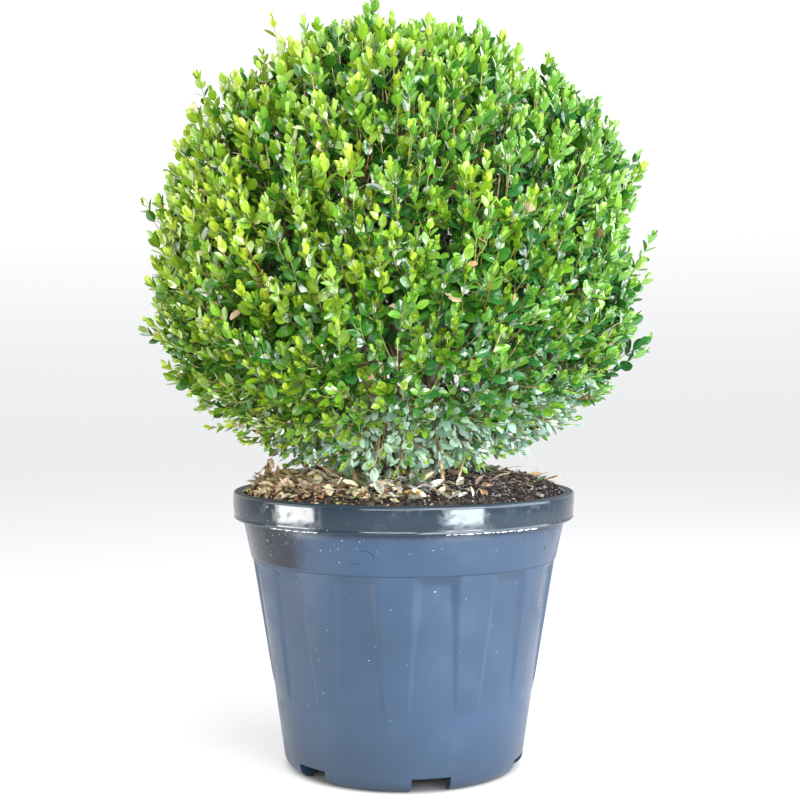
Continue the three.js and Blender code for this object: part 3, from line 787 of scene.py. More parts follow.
def mound_at(distance):
    """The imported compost's height at a distance from the pot's axis, filled up at its edge."""
    edge = mouth_radius(COMPOST_EDGE)
    shoulder = MOUND_HEIGHT - MOUND_SHOULDER_DROP
    share = np.clip((distance - MOUND_SHOULDER_RADIUS) / (edge - MOUND_SHOULDER_RADIUS), 0, 1)
    fall = lerp(shoulder, COMPOST_EDGE, share**2)
    rise = np.interp(distance, [MOUND_FLAT_RADIUS, MOUND_SHOULDER_RADIUS], [MOUND_HEIGHT, shoulder])
    return np.where(distance < MOUND_SHOULDER_RADIUS, rise, fall)


def ground(places):
    """The height of the loose compost's surface."""
    distance = np.hypot(places[..., 0], places[..., 1])
    loose = smooth_step((mouth_radius(COMPOST_EDGE) - distance) / 10)
    heaps = waves(places, 34, 3) * 1.6 + waves(places, 13, 4) * 1.3 + waves(places, 6, 5) * 0.7
    return mound_at(distance) + heaps * (0.25 + 0.75 * loose)


def make_compost():
    distances = np.linspace(0.5, mouth_radius(COMPOST_EDGE), COMPOST_ROWS)
    heading = np.arange(COMPOST_COLUMNS) / COMPOST_COLUMNS * 360
    top = around(heading[None], distances[:, None], 0)
    top[..., 2] = ground(top)
    below = [COMPOST_EDGE - 4, BAND_TOP, BAND_FOOT, FLOOR_TOP + 6]
    side = [around(heading, mouth_radius(height), height) for height in below]
    floor = FLOOR_TOP + COMPOST_CLEARANCE
    side.append(around(heading, FOOT_RADIUS - CORNER_RADIUS - 1, floor))
    rows = np.concatenate([top, np.array(side)])
    shape = closed_form(rows, (0, 0, rows[0, 0, 2]), (0, 0, floor), downward=True)
    look = grained("compost_soil", (20, 17, 15), (62, 53, 46), 130)
    add_piece("compost_soil", shape, look, "compost", "compost")


def scatter(random, count, low, high):
    """Places spread evenly over the ring of compost between two distances."""
    distance = np.sqrt(random.uniform(low**2, high**2, count))
    return around(random.uniform(0, 360, count), distance, 0)


def turns(random, count, flat):
    """Random turns as three axes for each piece. Flat pieces lie near level."""
    normal = random.normal(size=(count, 3)) * (1 - flat) * 0.5
    normal[:, 2] = flat + (1 - flat) * random.normal(size=count) * 0.5
    normal = unit(normal)
    along = unit(np.cross(normal, random.normal(size=(count, 3))))
    return along, np.cross(normal, along), normal


def blobs(random, places, sizes, stretch, flat):
    """Small lumps with eight faces each, stretched along, across and over."""
    count = len(places)
    axes = turns(random, count, flat)
    corners = np.array([(1, 0, 0), (0, 1, 0), (-1, 0, 0), (0, -1, 0), (0, 0, 1), (0, 0, -1)], float)
    shape = corners * np.array(stretch)
    shape = shape[None] * random.uniform(0.6, 1.25, (count, 6, 1)) * sizes[:, None, None] / 2
    points = laid_out(places, axes, np.moveaxis(shape, -1, 0))
    ring = [(k, (k + 1) % 4) for k in range(4)]
    faces = [(a, b, 4) for a, b in ring] + [(b, a, 5) for a, b in ring]
    return points.reshape(-1, 3), copies_of(6, np.array(faces), count)


def crumbs(random, places, size):
    sizes = size * random.lognormal(0, 0.35, len(places))
    return blobs(random, places, sizes, (1.3, 1, 0.8), 0.3)


def chips(random, places, size):
    """Flakes of bark: bent plates with six uneven corners, above and below."""
    count = len(places)
    lengths = size * random.lognormal(-0.05, 0.42, count)
    axes = turns(random, count, 0.6)
    turn = np.arange(6) / 6 * 2 * np.pi
    reach = random.uniform(0.65, 1.1, (count, 6)) * lengths[:, None] / 2
    width = random.uniform(0.35, 0.7, (count, 1))
    thick = (lengths * random.uniform(0.05, 0.14, count))[:, None]
    x, y = reach * np.cos(turn), reach * np.sin(turn) * width
    bend = random.uniform(-0.5, 0.9, (count, 1)) * y**2 / lengths[:, None] * 2
    skins = []
    for level in (1, -1):
        over = bend + thick * level * random.uniform(0.7, 1.1, (count, 6))
        skins.append(laid_out(places, axes, (x, y, over)))
    ring = [(k, (k + 1) % 6) for k in range(6)]
    faces = [(0, k, k + 1) for k in range(1, 5)] + [(6, 6 + k + 1, 6 + k) for k in range(1, 5)]
    faces += [(b, a, a + 6) for a, b in ring] + [(b, a + 6, b + 6) for a, b in ring]
    return np.concatenate(skins, axis=1).reshape(-1, 3), copies_of(12, np.array(faces), count)


def fibres(random, places, size):
    """Thin bent roots, needles and twigs that lie on the compost, from a length and a thickness."""
    count = len(places)
    length, thickness = size
    lengths = length * random.lognormal(0, 0.3, count)
    way = random.normal(size=(count, 3))
    way[:, 2] *= 0.35
    bow = random.normal(size=(count, 2, 3)) * lengths[:, None, None] * 0.22
    bow[..., 2] = np.abs(bow[..., 2]) * 0.5
    half = unit(way) * lengths[:, None] / 2
    thirds = [places - half / 3 + bow[:, 0], places + half / 3 + bow[:, 1]]
    controls = np.stack([places - half, *thirds, places + half], axis=1)
    centres, directions = bezier(controls, np.linspace(0, 1, 6))
    radii = thickness * random.uniform(0.6, 1.3, (count, 1)) * np.linspace(1, 0.6, 6)
    return tubes(centres, directions, radii, 3)


def fallen_leaves(random, places, longest):
    count = len(places)
    along, _, normal = turns(random, count, 0.6)
    length = random.triangular(7, 11, longest, count)
    curl = random.uniform(-0.4, 0.4, count)
    fold = random.uniform(0.1, 0.8, count)
    width = random.uniform(0.45, 0.62, count)
    point = random.uniform(0.2, 1, count)
    return leaves(places, along, normal, length, width, fold, curl, point)


def zone(places):
    """Where a place lies, from -1 on the bark at the left to 1 on the soil at the right."""
    return np.clip(places[:, 0] / 75 + waves(places, 60, 8) * 0.4, -1, 1)


def laid(random, count, likely, edge, lift):
    """Places on the surface, thinned to a share that changes with the zone or the distance from it."""
    places = scatter(random, count, LITTER_START, edge)
    draw = random.random(count)
    start, slope, *middle = likely
    side = zone(places)
    if middle:
        side = np.abs(side - middle[0])
    places = places[draw < start + slope * side]
    places[:, 2] = ground(places) + lift
    return places


# What lies on the compost: the colour, count and size of each kind, then how likely it is in the
# middle zone, how that changes to the right and, for some, the zone round which it lies
CRUMBS = (
    ("crumbs_black", (22, 18, 18), 8600, 2.8, (0.5, 0.5)),
    ("crumbs_brown", (50, 40, 35), 6200, 2.6, (0.6, -0.25)),
    ("crumbs_tan", (140, 118, 88), 2600, 2.1, (0.45, -0.4)),
    ("crumbs_grey", (88, 87, 87), 3400, 2, (0.35, 0.35)),
)
CHIPS = (
    ("chips_rust", (144, 102, 64), 520, 6.5, (0.3, -0.7)),
    ("chips_brown", (98, 80, 60), 1000, 7, (0.42, -0.4)),
    ("chips_tan", (190, 174, 136), 800, 6.5, (0.36, -0.5)),
    ("chips_olive", (140, 138, 94), 620, 6, (0.2, -0.7)),
    ("chips_grey", (126, 124, 112), 700, 6, (0.4, -0.3)),
)
STRANDS = (
    ("fibres_pale", (172, 162, 144), 700, (8, 0.22), (0.6, 0.1)),
    ("fibres_brown", (92, 78, 68), 1300, (12, 0.3), (0.5, 0.45)),
    ("dry_twigs", (148, 132, 110), 90, (24, 0.8), (0.7, -0.3)),
)
FALLEN_LEAVES = (
    ("fallen_grey", (180, 180, 163), 1500, 20, (0.8, -0.95, -0.15)),
    ("fallen_pale", (200, 200, 188), 620, 20, (0.7, -0.85, -0.15)),
    ("fallen_tan", (200, 188, 152), 800, 20, (0.5, -0.49)),
    ("fallen_pink", (196, 166, 142), 120, 20, (0.5, -0.35)),
    ("fallen_brown", (144, 116, 82), 640, 20, (0.45, -0.4)),
    ("fallen_yellow", (196, 164, 76), 44, 20, (0.45, -0.4)),
    ("fallen_green", (104, 126, 84), 150, 20, (0.6, -0.4, 0)),
)


def make_litter():
    """Loose matter by group: how far out it lies, its lift, its shades from dark to light, its grain."""
    random = np.random.default_rng(SEED + 7)
    groups = (
        (CRUMBS, crumbs, 156.5, 0.5, 1, 1.4, 300),
        (CHIPS, chips, 156.5, 1.4, 0.7, 1, 220),
        (STRANDS, fibres, 148, 1.8, 0.75, 1, 160),
        (FALLEN_LEAVES, fallen_leaves, 150, 2.2, 0.66, 1, 110),
    )
    for kinds, maker, edge, lift, dark, light, grain in groups:
        for name, colour, count, size, likely in kinds:
            shape = maker(random, laid(random, count, likely, edge, lift), size)
            look = grained(name, [c * dark for c in colour], [c * light for c in colour], grain)
            piece = add_piece(name, shape, look, "compost", smooth=maker not in (crumbs, chips))
            if maker is fallen_leaves:
                crease(piece)
    places = scatter(random, MOSS_COUNT, *MOSS_RING)
    near = np.exp(-(((heading_of(places) - MOSS_HEADING) / MOSS_SPREAD) ** 2))
    places = places[random.random(len(places)) < near]
    places[:, 2] = ground(places) + 1.5
    sizes = random.uniform(2.5, 5.5, len(places))
    look = grained("moss", (132, 128, 76), (208, 200, 140), 260)
    add_piece("moss", blobs(random, places, sizes, (1, 1, 0.9), 0.2), look, "compost")


def make_sticks():
    random = np.random.default_rng(SEED + 11)
    feet, tips, thick = (np.array([stick[k] for stick in STICKS], float) for k in range(3))
    bends = random.normal(0, 0.08, (2, *feet.shape)) * np.linalg.norm(tips - feet, axis=1)[:, None]
    thirds = [lerp(feet, tips, 1 / 3) + bends[0], lerp(feet, tips, 2 / 3) + bends[1]]
    controls = np.stack([feet, *thirds, tips], axis=1)
    centres, directions = bezier(controls, np.linspace(0, 1, 9))
    look = grained("sticks", (122, 100, 74), (182, 160, 126), 140)
    shape = tubes(centres, directions, thick[:, None] * np.linspace(1, 0.6, 9), 7)
    add_piece("sticks", shape, look, "bark")
    hung, _ = bezier(controls[-1:], np.array(HANGING_LEAVES))
    places = np.concatenate([hung[0], np.array(CAUGHT_LEAVES, float)])
    along, _, normal = turns(random, len(places), 0)
    ranges = ((9, 14), (0.5, 0.6), (0, 0.5), (-0.3, 0.3), (0.2, 0.8))
    measures = [random.uniform(low, high, len(places)) for low, high in ranges]
    look = grained("leaves_caught", (150, 134, 116), (210, 190, 166), 130)
    crease(add_piece("leaves_caught", leaves(places, along, normal, *measures), look, "foliage"))


# Stems and boughs


def along_route(controls, shares):
    """Points and directions at even shares of the length of one cubic curve."""
    fine = np.linspace(0, 1, 257)
    places, _ = bezier(controls[None], fine)
    steps = np.linalg.norm(np.diff(places[0], axis=0), axis=1)
    length = np.concatenate([[0], np.cumsum(steps)])
    at = np.interp(np.asarray(shares) * length[-1], length, fine)
    places, runs = bezier(controls[None], at)
    return places[0], runs[0]


def stem_controls(foot, feed):
    tip = CROWN + feed * LIMB_REACH
    rise = tip[2] - foot[2]
    return curve(foot, UP * rise * STEM_RISE, feed * rise * STEM_BEND, tip)


def bough_controls(stem, feed):
    roots, runs = along_route(stem, [BOUGH_FORK])
    tip = CROWN + feed * LIMB_REACH
    reach = np.linalg.norm(tip - roots[0])
    leaving = unit(lerp(runs[0], feed, BOUGH_TURN))
    return curve(roots[0], leaving * reach * BOUGH_BEND, feed * reach * BOUGH_BEND, tip)


def mass_feeds():
    """The direction in which each mass is fed: the cap, the upper ring and the lower ring."""
    turn = 360 / SECTOR_COUNT
    upper = [outward(k * turn, UPPER_FEED_ANGLE) for k in range(SECTOR_COUNT)]
    lower = [outward((k + 0.5) * turn, LOWER_FEED_ANGLE) for k in range(SECTOR_COUNT)]
    return UP.copy(), upper, lower


def barked(centres, directions, radii, sides, seed):
    """A limb whose skin has long ridges and small knots."""
    points, faces = tubes(centres[None], directions[None], radii[None], sides)
    rings = points.reshape(len(centres), sides, 3)
    spokes = rings - centres[:, None]
    turn = np.arange(sides) / sides * 2 * np.pi
    random = np.random.default_rng(seed)
    run = np.linspace(0, 1, len(centres))[:, None] * len(centres)
    relief = np.zeros((len(centres), sides))
    for ridges in (2, 3, 5, 7):
        start = random.uniform(0, 2 * np.pi)
        drift = random.uniform(-0.35, 0.35)
        relief += 0.05 * np.sin(ridges * turn + drift * run + start)
    relief += 0.05 * np.sin(run * 0.9 + random.uniform(0, 6)) * np.sin(2 * turn + run * 0.2)
    return (centres[:, None] + spokes * (1 + relief)[..., None]).reshape(-1, 3), faces


def bark_look():
    look = Look("bark", shade(150, 134, 112), 0.85, specular=0.25)
    stretched = look.add("ShaderNodeMapping", {"Vector": look.place, "Scale": (160, 160, 26)})
    grain = look.noise(1, 6, stretched.outputs[0])
    share = look.ramp(grain, 0.3, 0.7)
    look.link(look.mix(share, shade(92, 78, 62), shade(176, 162, 138)), "Base Color")
    look.bump(grain, 1.2, 0.8)
    return look.material


def make_limbs():
    """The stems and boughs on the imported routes, with bark. Returns the tip each mass grows from."""
    draw = packed_random(SEED)
    middle, upper, lower = mass_feeds()
    foot = np.array([*MIDDLE_STEM_FOOT, MOUND_HEIGHT], float)
    stems = [("stem_middle", stem_controls(foot, middle))]
    boughs = []
    for k, feed in enumerate(upper):
        heading = k * 360 / SECTOR_COUNT + STEM_HEADING_SCATTER * (next(draw) - 0.5)
        distance = STEM_RING_RADIUS + STEM_RING_SCATTER * (next(draw) - 0.5)
        stem = stem_controls(around(heading, distance, MOUND_HEIGHT), feed)
        stems.append((f"stem_{k + 1}", stem))
        boughs.append((f"bough_{k + 1}", bough_controls(stem, lower[k])))
    look = bark_look()
    groups = (
        (stems, 0, STEM_ROWS, STEM_SIDES, STEM_FOOT_RADIUS, STEM_TIP_RADIUS, STEM_FLARE),
        (boughs, 20, BOUGH_ROWS, BOUGH_SIDES, BOUGH_FOOT_RADIUS, BOUGH_TIP_RADIUS, 0),
    )
    for limbs, first_seed, rows, sides, foot_radius, tip_radius, flare in groups:
        shares = np.linspace(0, 1, rows)
        radii = lerp(foot_radius, tip_radius, shares) + flare * np.exp(-shares * FLARE_FADE)
        for k, (name, controls) in enumerate(limbs):
            route = [*along_route(controls, shares), radii]
            if flare:
                route = [np.concatenate([part[:1], part]) for part in route]
                route[0][0] -= UP * STEM_SINK
            add_piece(name + "_bark", barked(*route, sides, first_seed + k), look, "bark", name)
    return middle, upper, lower


# Leaves


def leaves(roots, along, normal, length, width, fold, curl, point):
    """Leaves of fourteen faces. Width, fold and curl are shares of the length, point is 0 to 1."""
    size = length[:, None]
    half = (length * width / 2)[:, None]
    line = [0, 0.3, 0.6, 0.86, 1]
    edge = [0.09, 0.33, 0.63, 0.89]
    blunt = np.array([0.42, 0.92, 1, 0.64])
    pointed = np.array([0.5, 1, 0.84, 0.36])
    rim = lerp(blunt[None], pointed[None], point[:, None])
    u = np.array(line + edge + edge)[None]
    v = np.concatenate([np.zeros((len(roots), MIDRIB_POINTS)), rim, -rim], axis=1)
    over = fold[:, None] * np.abs(v) * half + curl[:, None] * u**2 * size
    axes = (along, np.cross(normal, along), normal)
    points = laid_out(roots, axes, (u * size, v * half, over))
    right = [(0, 5, 1), (5, 6, 1), (1, 6, 2), (6, 7, 2), (2, 7, 3), (7, 8, 3), (3, 8, 4)]
    left = [tuple(k + 4 if k >= MIDRIB_POINTS else k for k in (a, c, b)) for a, b, c in right]
    faces = np.array(right + left)[:, ::-1]
    return points.reshape(-1, 3), copies_of(LEAF_POINTS, faces, len(roots))


def crease(piece):
    """Marks the midrib of each leaf of a piece as a sharp fold."""
    mesh = piece.data
    ends = np.empty(len(mesh.edges) * 2, np.int32)
    mesh.edges.foreach_get("vertices", ends)
    on_midrib = (ends.reshape(-1, 2) % LEAF_POINTS < MIDRIB_POINTS).all(axis=1)
    mesh.attributes.new("sharp_edge", "BOOLEAN", "EDGE").data.foreach_set("value", on_midrib)


def leaf_look(name, colour, roughness, coat):
    look = Look(name, shade(*colour), roughness, 0.65, coat)
    patchy = look.ramp(look.noise(180, 2), 0.3, 0.7, roughness - 0.07, roughness + 0.1)
    look.link(patchy, "Roughness")
    look.bump(look.noise(420, 2), 0.35, 0.3)
    return look.material


# Each kind of leaf has plain colours from warm to cool, dealt out by shoot and by side, a roughness and
# a coat. Dealing warm colours to the left and cool ones to the right is painted light: it puts the tint
# of warm light at the left and cool light at the right into the base colours.
LEAF_KINDS = {
    "young": ([(149, 172, 42), (140, 172, 44), (129, 167, 48), (119, 160, 56)], 0.34, 0.5),
    "fresh": ([(110, 142, 24), (103, 142, 27), (94, 139, 32), (85, 133, 40)], 0.24, 1),
    "mature": ([(54, 102, 18), (47, 100, 20), (41, 96, 25), (35, 91, 34)], 0.2, 1),
    "inner": ([(48, 104, 20), (38, 96, 26)], 0.4, 0.3),
    "dusty": ([(104, 138, 98), (142, 172, 144), (160, 186, 168), (114, 150, 122)], 0.42, 0.4),
    "dead": ([(208, 186, 146), (170, 134, 94)], 0.6, 0),
}


# The crown's shoots


def field(directions, fineness, seed):
    """Smooth bumps over the crown, from about -1 to 1. A greater fineness makes them smaller."""
    random = np.random.default_rng(SEED + seed)
    across = unit(random.normal(size=(CROWN_WAVES, 3)))
    across = across * fineness * random.uniform(0.6, 1.4, (CROWN_WAVES, 1))
    starts = random.uniform(0, 2 * np.pi, CROWN_WAVES)
    return np.sin(directions @ across.T + starts).mean(-1) * 2.4


def swell_at(directions):
    """Soft uneven swells of the clipped surface."""
    swell = field(directions, 11, 3) * SWELL_HEIGHT
    for heading, polar, height in BULGES:
        nearness = (1 - directions @ outward(heading, polar)) / BULGE_WIDTH
        swell = swell + height * np.exp(-nearness)
    return swell


def polar_of(directions):
    return np.degrees(np.arccos(np.clip(directions[..., 2], -1, 1)))


def reach_at(directions):
    """How far the clipped surface is from the crown's centre: less at the foot."""
    foot = smooth_step((polar_of(directions) - CROWN_FOOT_ANGLE) / CROWN_FOOT_FADE)
    return lerp(CROWN_REACH, CROWN_FOOT_REACH, foot) + swell_at(directions)


def spiral(count, foot_angle, random, scatter_angle):
    """Directions spread evenly down to a polar angle by the golden angle, with a little scatter."""
    k = np.arange(count)
    height = lerp(1, math.cos(math.radians(foot_angle)), (k + 0.5) / count)
    polar = np.degrees(np.arccos(height)) + random.normal(0, scatter_angle, count)
    heading = k * 180 * (3 - math.sqrt(5)) + random.normal(0, scatter_angle, count)
    return outward(heading, np.abs(polar))


def over_ground(points, lowest):
    """The points, lifted where they lie below a height above the compost."""
    points = points.copy()
    floor = mound_at(np.hypot(points[..., 0], points[..., 1])) + lowest
    points[..., 2] = np.maximum(points[..., 2], floor)
    return points


def spray_controls(random, middle, upper, lower):
    """Curves from the tip of each stem or bough to the sprays of its mass."""
    directions = spiral(SPRAY_COUNT, SPRAY_FOOT_ANGLE, random, 2)
    polar = polar_of(directions)
    heading = heading_of(directions)
    turn = 360 / SECTOR_COUNT
    ring = np.round(heading / turn).astype(int) % SECTOR_COUNT
    low_ring = np.floor((heading % 360) / turn).astype(int) % SECTOR_COUNT
    below = polar > LOWER_RING_ANGLE
    feeds = np.array(upper)[ring]
    feeds[below] = np.array(lower)[low_ring][below]
    feeds[polar < CAP_ANGLE] = middle
    roots = CROWN + feeds * (LIMB_REACH - SPRAY_LAP)
    nodes = over_ground(CROWN + directions * SPRAY_REACH, SPRAY_OVER_COMPOST)
    reach = np.linalg.norm(nodes - roots, axis=1, keepdims=True)
    branches = curve(roots, feeds * reach * SPRAY_BEND, directions * reach * SPRAY_BEND, nodes)
    return branches, directions, nodes


def shoots_to(random, directions, reach, tilt, spray_directions, nodes):
    """Curves from the sprays' ends out to the given directions, turning upwards on the way."""
    tips = over_ground(CROWN + directions * reach[:, None], TIP_OVER_COMPOST)
    nearest = np.argmax(unit(directions - UP * ROOT_LAG) @ spray_directions.T, axis=1)
    roots = nodes[nearest]
    low = smooth_step((polar_of(directions) - FOOT_TILT_ANGLE) / FOOT_TILT_FADE)
    tilt = random.uniform(*tilt, len(tips)) * lerp(1, FOOT_TILT_SHARE, low)
    along = unit(directions + UP * tilt[:, None] + random.normal(0, 0.12, tips.shape))
    length = np.linalg.norm(tips - roots, axis=1, keepdims=True)
    leaving = unit(spray_directions[nearest] + random.normal(0, 0.25, tips.shape))
    return curve(roots, leaving * length * SHOOT_FOOT_BEND, along * length * SHOOT_TIP_BEND, tips)


def main_controls(random, spray_directions, nodes):
    """The shoots that reach the clipped surface, and those that stand out of it."""
    clipped = spiral(SHOOT_COUNT, SHOOT_FOOT_ANGLE, random, 1.8)
    clipped = clipped[field(clipped, 30, 5) < random.uniform(*SHOOT_GAPS, SHOOT_COUNT)]
    reach = reach_at(clipped) + REACH_SPREAD * (random.beta(2, 2.2, len(clipped)) - 0.85)
    stray = np.array([outward(heading, polar) for heading, polar, _ in STRAGGLERS])
    directions = np.concatenate([clipped, stray])
    reach = np.concatenate([reach, [far for _, _, far in STRAGGLERS]])
    return shoots_to(random, directions, reach, SHOOT_TILT, spray_directions, nodes)


def inner_controls(random, spray_directions, nodes):
    """Short shoots inside the crown, which hide the sky behind it."""
    directions = spiral(INNER_COUNT, INNER_FOOT_ANGLE, random, 3)
    reach = random.uniform(*INNER_SHOOT_REACH, INNER_COUNT)
    return shoots_to(random, directions, reach, INNER_TILT, spray_directions, nodes)


def side_controls(random, mains):
    """Short shoots that fork from the main ones below their tips and turn up beside them."""
    count = len(mains)
    found = []
    for _ in range(SIDES_PER_SHOOT):
        places, runs = (part[:, 0] for part in bezier(mains, random.uniform(*SIDE_START, (count, 1))))
        out = unit(np.cross(runs, random.normal(size=(count, 3))))
        length = random.uniform(*SIDE_LENGTH, count)[:, None]
        leaving = unit(runs + out * 0.95)
        ending = unit(runs + out * 0.3 + UP * 0.4)
        away = places + (leaving * 0.55 + ending * 0.45) * length - CROWN
        limit = reach_at(unit(away)) - random.uniform(*SIDE_CLIP, count)
        tips = CROWN + away * np.minimum(1, limit / np.linalg.norm(away, axis=1))[:, None]
        tips = over_ground(tips, TIP_OVER_COMPOST)
        found.append(curve(places, leaving * length * SIDE_BEND, ending * length * SIDE_BEND, tips))
    return np.concatenate(found)


def pairs_on(random, controls, drops, shoots, radius):
    """The leaves in pairs down from each shoot's tip, each pair square to the next."""
    count, pairs = len(controls), len(drops)
    length = np.linalg.norm(controls[:, 3] - controls[:, 0], axis=1)
    down = np.array(drops)[None] * random.uniform(0.85, 1.25, (count, 1))
    t = 1 - down / (length[:, None] * 1.2)
    places, runs = bezier(controls, np.clip(t, 0.02, 1))
    first = unit(np.cross(runs, random.normal(size=(count, 1, 3))))
    second = np.cross(runs, first)
    shoot = np.repeat(shoots[:, None], pairs, 1)
    found = []
    for side in (0, 1):
        turn = np.arange(pairs) * np.pi / 2 + side * np.pi
        turn = turn[None] + random.normal(0, 0.2, (count, pairs))
        out = first * np.cos(turn)[..., None] + second * np.sin(turn)[..., None]
        opening = np.interp(down, *LEAF_OPENING) + random.normal(0, 8, down.shape)
        opening = np.radians(opening)[..., None]
        along = runs * np.cos(opening) + out * np.sin(opening)
        face = runs * np.sin(opening) - out * np.cos(opening)
        found.append((places + out * radius, along, face, down, shoot, t))
    return joined([[part.reshape(-1, *part.shape[2:]) for part in half] for half in found])


def joined(groups):
    """Each of the arrays that the groups have in common, end to end."""
    return [np.concatenate(parts) for parts in zip(*groups)]


def shoot_ages(random, heads):
    """How far down its tip each shoot is young, and fresh: less at the right and low on the ball."""
    aged = AGED_AT_RIGHT * smooth_step(heads[:, 0] * 1.3)
    aged = aged + AGED_BELOW * smooth_step((polar_of(heads) - 85) / 40)
    waver = YOUNG_WAVER * field(heads, 20, 9)
    young = random.gamma(*YOUNG_RUN, len(heads)) - YOUNG_START - aged + waver
    return young, young + random.uniform(*FRESH_RUN, len(heads))


def leaf_kinds(random, root, down, young, fresh):
    """Which kind each leaf is, from its distance down the shoot and its place in the crown."""
    kind = np.full(len(root), "mature")
    kind[down < fresh] = "fresh"
    kind[down < young] = "young"
    kind[np.linalg.norm(root - CROWN, axis=1) < INNER_REACH] = "inner"
    away = np.hypot(root[:, 0] - DUST_SPOT[0], root[:, 1] - DUST_SPOT[1])
    low = smooth_step((DUST_TOP - root[:, 2]) / DUST_FADE)
    low = low * smooth_step((DUST_REACH - away) / DUST_EDGE)
    share = np.where(kind == "young", DUSTY_YOUNG_SHARE, DUSTY_SHARE)
    kind[random.random(len(root)) < low * share] = "dusty"
    kind[random.random(len(root)) < DEAD_SHARE] = "dead"
    return kind


def make_crown(feeds):
    random = np.random.default_rng(SEED + 1)
    branches, spray_directions, nodes = spray_controls(random, *feeds)
    mains = main_controls(random, spray_directions, nodes)
    inners = inner_controls(random, spray_directions, nodes)
    sides = side_controls(random, mains)
    make_twigs(random, branches, mains, sides, inners)
    shoot = np.arange(len(mains))
    parts = [
        pairs_on(random, mains, MAIN_DROPS, shoot, 0.8),
        pairs_on(random, sides, SIDE_DROPS, np.tile(shoot, SIDES_PER_SHOOT), 0.6),
        pairs_on(random, inners, INNER_DROPS, len(mains) + np.arange(len(inners)), 0.6),
    ]
    root, along, face, down, shoot, t = joined(parts)
    count = len(root)
    heads = unit(np.concatenate([mains[:, 3], inners[:, 3]]) - CROWN)
    vigour = random.uniform(*LEAF_VIGOUR, len(heads))
    young, fresh = shoot_ages(random, heads)
    toward = unit(root - CROWN)
    polar = polar_of(toward) + OPEN_WAVER * field(toward, 9, 6)
    open_share = smooth_step((polar - OPEN_ANGLE) / OPEN_FADE)
    keep = random.random(count) > np.interp(down, *LEAF_LOSS) + OPEN_LOSS * open_share
    keep |= down < 2
    keep &= (t > 0.04) & (np.linalg.norm(root - CROWN, axis=1) > LEAFLESS_REACH)
    length = np.interp(down, *LEAF_LENGTHS) * vigour[shoot] * random.normal(1, 0.1, count)
    length *= 1 - OPEN_SHORTENING * open_share
    light = unit(toward + UP * LIGHT_LIFT) * np.interp(down, *LEAF_LIGHT)[:, None]
    face = unit(face + light + random.normal(0, 0.14, face.shape))
    face = unit(face - along * np.sum(face * along, -1, keepdims=True))
    tip = root + along * length[:, None]
    keep &= tip[:, 2] > mound_at(np.hypot(tip[:, 0], tip[:, 1])) + 0.5
    kind = leaf_kinds(random, root, down, young[shoot], fresh[shoot])
    fold = np.interp(down, *LEAF_FOLD) + random.normal(0, 0.1, count)
    curl = np.interp(down, *LEAF_CURL) + random.normal(0, 0.06, count)
    width = np.interp(down, *LEAF_WIDTH) + random.normal(0, 0.05, count)
    point = np.clip(np.interp(down, *LEAF_POINT) + random.normal(0, 0.2, count), 0, 1)
    scatter_by_shoot = random.normal(0, COOL_SCATTER, len(heads))
    # Painted light: leaves at the left get the warm colours and those at the right the cool ones, as
    # warm and cool light would tint them, with a random tone by shoot on top
    cool = 0.5 + PAINTED_COOL_LIGHT_AT_RIGHT * toward[:, 0] + scatter_by_shoot[shoot]
    cool = np.clip(cool, 0, 0.999)
    masses = [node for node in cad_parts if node.startswith("foliage")]
    for kind_name, (colours, roughness, coat) in LEAF_KINDS.items():
        shades = (cool * len(colours)).astype(int)
        for variant, colour in enumerate(colours):
            chosen = keep & (kind == kind_name) & (shades == variant)
            measures = (part[chosen] for part in (root, along, face, length, width, fold, curl, point))
            name = f"leaves_{kind_name}_{variant + 1}"
            look = leaf_look(name, colour, roughness, coat)
            replaced = masses if name == "leaves_mature_1" else []
            crease(add_piece(name, leaves(*measures), look, "foliage", *replaced))


def make_twigs(random, branches, mains, sides, inners):
    kind = random.random(len(mains))
    tan, rust = kind < 0.38, kind > 0.94
    kinds = [
        ("twigs_grey", branches, (3, 1.6), 12, 6, (96, 86, 72), (150, 138, 120)),
        ("twigs_inner", inners, (1.2, 0.6), 7, 3, (92, 82, 66), (136, 124, 102)),
        ("twigs_tan", mains[tan], (1.1, 0.4), 12, 4, (130, 112, 70), (178, 158, 108)),
        ("twigs_rust", mains[rust], (1.1, 0.4), 12, 4, (134, 78, 46), (174, 108, 66)),
        ("twigs_olive", mains[~(tan | rust)], (1.1, 0.4), 12, 4, (98, 106, 46), (148, 152, 76)),
        ("twigs_green", sides, (0.7, 0.35), 6, 3, (100, 112, 40), (146, 156, 66)),
    ]
    for name, controls, (foot, tip), steps, corners, low, high in kinds:
        shares = np.linspace(0, 1, steps)
        centres, directions = bezier(controls, shares)
        radii = lerp(foot, tip, shares)[None] * random.uniform(0.85, 1.15, (len(controls), 1))
        look = grained(name, low, high, 120, 4, (0.3, 0.7), (0.65, 0.35), None)
        add_piece(name, tubes(centres, directions, radii, corners), look, "bark")


# Stage and light


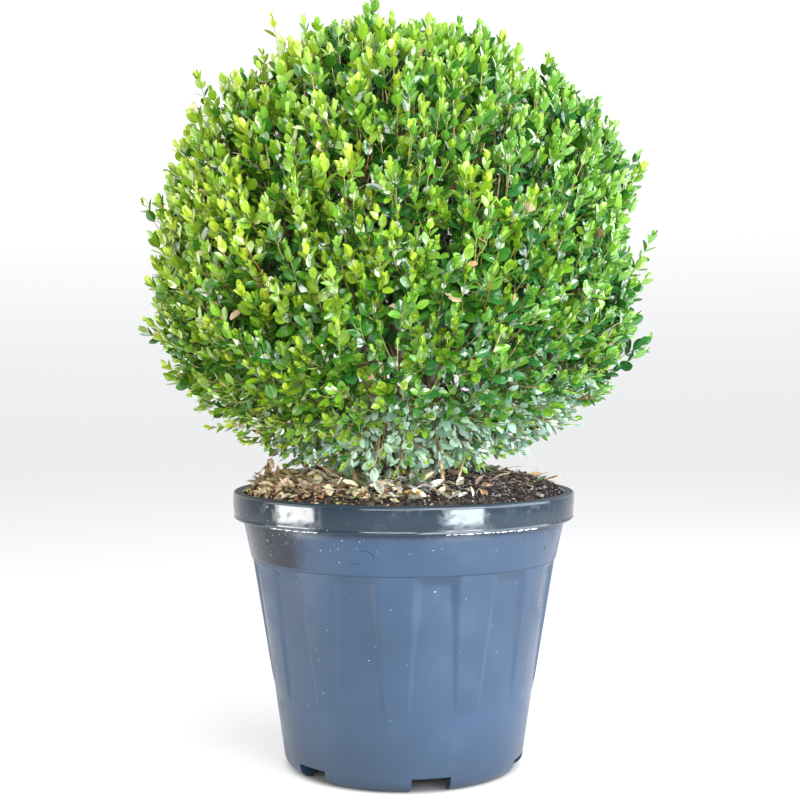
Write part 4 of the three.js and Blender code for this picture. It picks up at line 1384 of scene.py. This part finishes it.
def make_stage():
    """A round pale floor that curves up into a wall. It glows, as painted light, and is darker in front
    and at the sides, where it glows less, and under the pot, where it does not glow: a painted shadow.
    """
    look = Look("studio_paper", (0.25, 0.25, 0.25, 1), 0.9, specular=0.1)
    look.shader.inputs["Emission Color"].default_value = (1, 1, 1, 1)
    place = look.split()
    flat = look.vectors("MULTIPLY", look.place, (1, 1, 0), 0)
    reach = look.vectors("LENGTH", flat, (0, 0, 0), "Value")
    far = look.maths("MAXIMUM", look.maths("DIVIDE", reach, 0.6), 1)
    behind = look.ramp(look.maths("DIVIDE", place["Y"], far), -0.6, -0.14, 0.2, 1)
    aside = look.ramp(look.maths("DIVIDE", place["Y"], reach), 0.3, 0.8, 0.4, 1)
    aside = look.maths("MAXIMUM", aside, look.ramp(reach, 1.2, 2.4, 1, 0))
    upright = look.maths("MULTIPLY", look.ramp(place["Z"], 0, 1.5, 0.58, 0.85), aside)
    # No glow under the pot's foot: a painted shadow, which also keeps the floor seen through the notches
    # dark
    beside = look.ramp(reach, 0.106, 0.124)
    glow = look.maths("MULTIPLY", look.maths("MULTIPLY", behind, upright), beside)
    look.link(glow, "Emission Strength")
    turn = np.linspace(0, np.pi / 2, 13)
    straight = STAGE_RADIUS - STAGE_BEND
    radius = np.concatenate([[1], straight + STAGE_BEND * np.sin(turn), [STAGE_RADIUS]])
    height = np.concatenate([[0], STAGE_BEND - STAGE_BEND * np.cos(turn), [STAGE_HEIGHT]])
    heading = np.arange(STAGE_COLUMNS) / STAGE_COLUMNS * 360
    points = around(heading[None], radius[:, None], height[:, None]).reshape(-1, 3)
    faces = grid_faces(len(radius), STAGE_COLUMNS)[:, ::-1]
    new_piece("studio_floor", points, faces, look.material)


def make_lights():
    world = bpy.data.worlds.new("studio")
    bpy.context.scene.world = world
    world.use_nodes = True
    surround = world.node_tree.nodes["Background"].inputs
    surround["Color"].default_value = (0.95, 0.98, 1, 1)
    surround["Strength"].default_value = 0.7
    crown, rim = (0, 0, 480), (0, 0, 260)
    lamps = (
        ("rim_strip_left", around(-71, 1050, 140), rim, (540, 200), 7, (1, 0.99, 0.97)),
        ("rim_strip_right", around(37, 1000, 140), rim, (430, 200), 6.5, (0.86, 0.95, 1)),
        ("window_right", (850, -1350, 1150), crown, (1350, 1350), 68, (0.9, 0.94, 1)),
        ("side_right", (1500, -250, 900), crown, (1650, 1650), 54, (0.86, 0.91, 1)),
        ("side_left", (-1500, -250, 900), crown, (1200, 1200), 14, (1, 0.97, 0.92)),
        ("front", (-300, -1900, 620), crown, (1200, 800), 33, (1, 0.98, 1)),
        ("sky", (300, -500, 2900), crown, (2300, 2300), 76, (0.98, 0.96, 1)),
    )
    for name, place, target, size, power, colour in lamps:
        lamp = bpy.data.lights.new(name, "AREA")
        lamp.shape = "RECTANGLE"
        lamp.size, lamp.size_y = (side * MM for side in size)
        lamp.energy = power
        lamp.color = colour
        light = bpy.data.objects.new(name, lamp)
        bpy.context.scene.collection.objects.link(light)
        light.location = Vector(place) * MM
        facing = Vector(target) * MM - light.location
        light.rotation_euler = facing.to_track_quat("-Z", "Y").to_euler()
        light.visible_camera = False


make_camera()
make_pot()
make_compost()
make_litter()
make_sticks()
make_crown(make_limbs())
make_stage()
make_lights()
bpy.context.scene.view_settings.view_transform = "Standard"
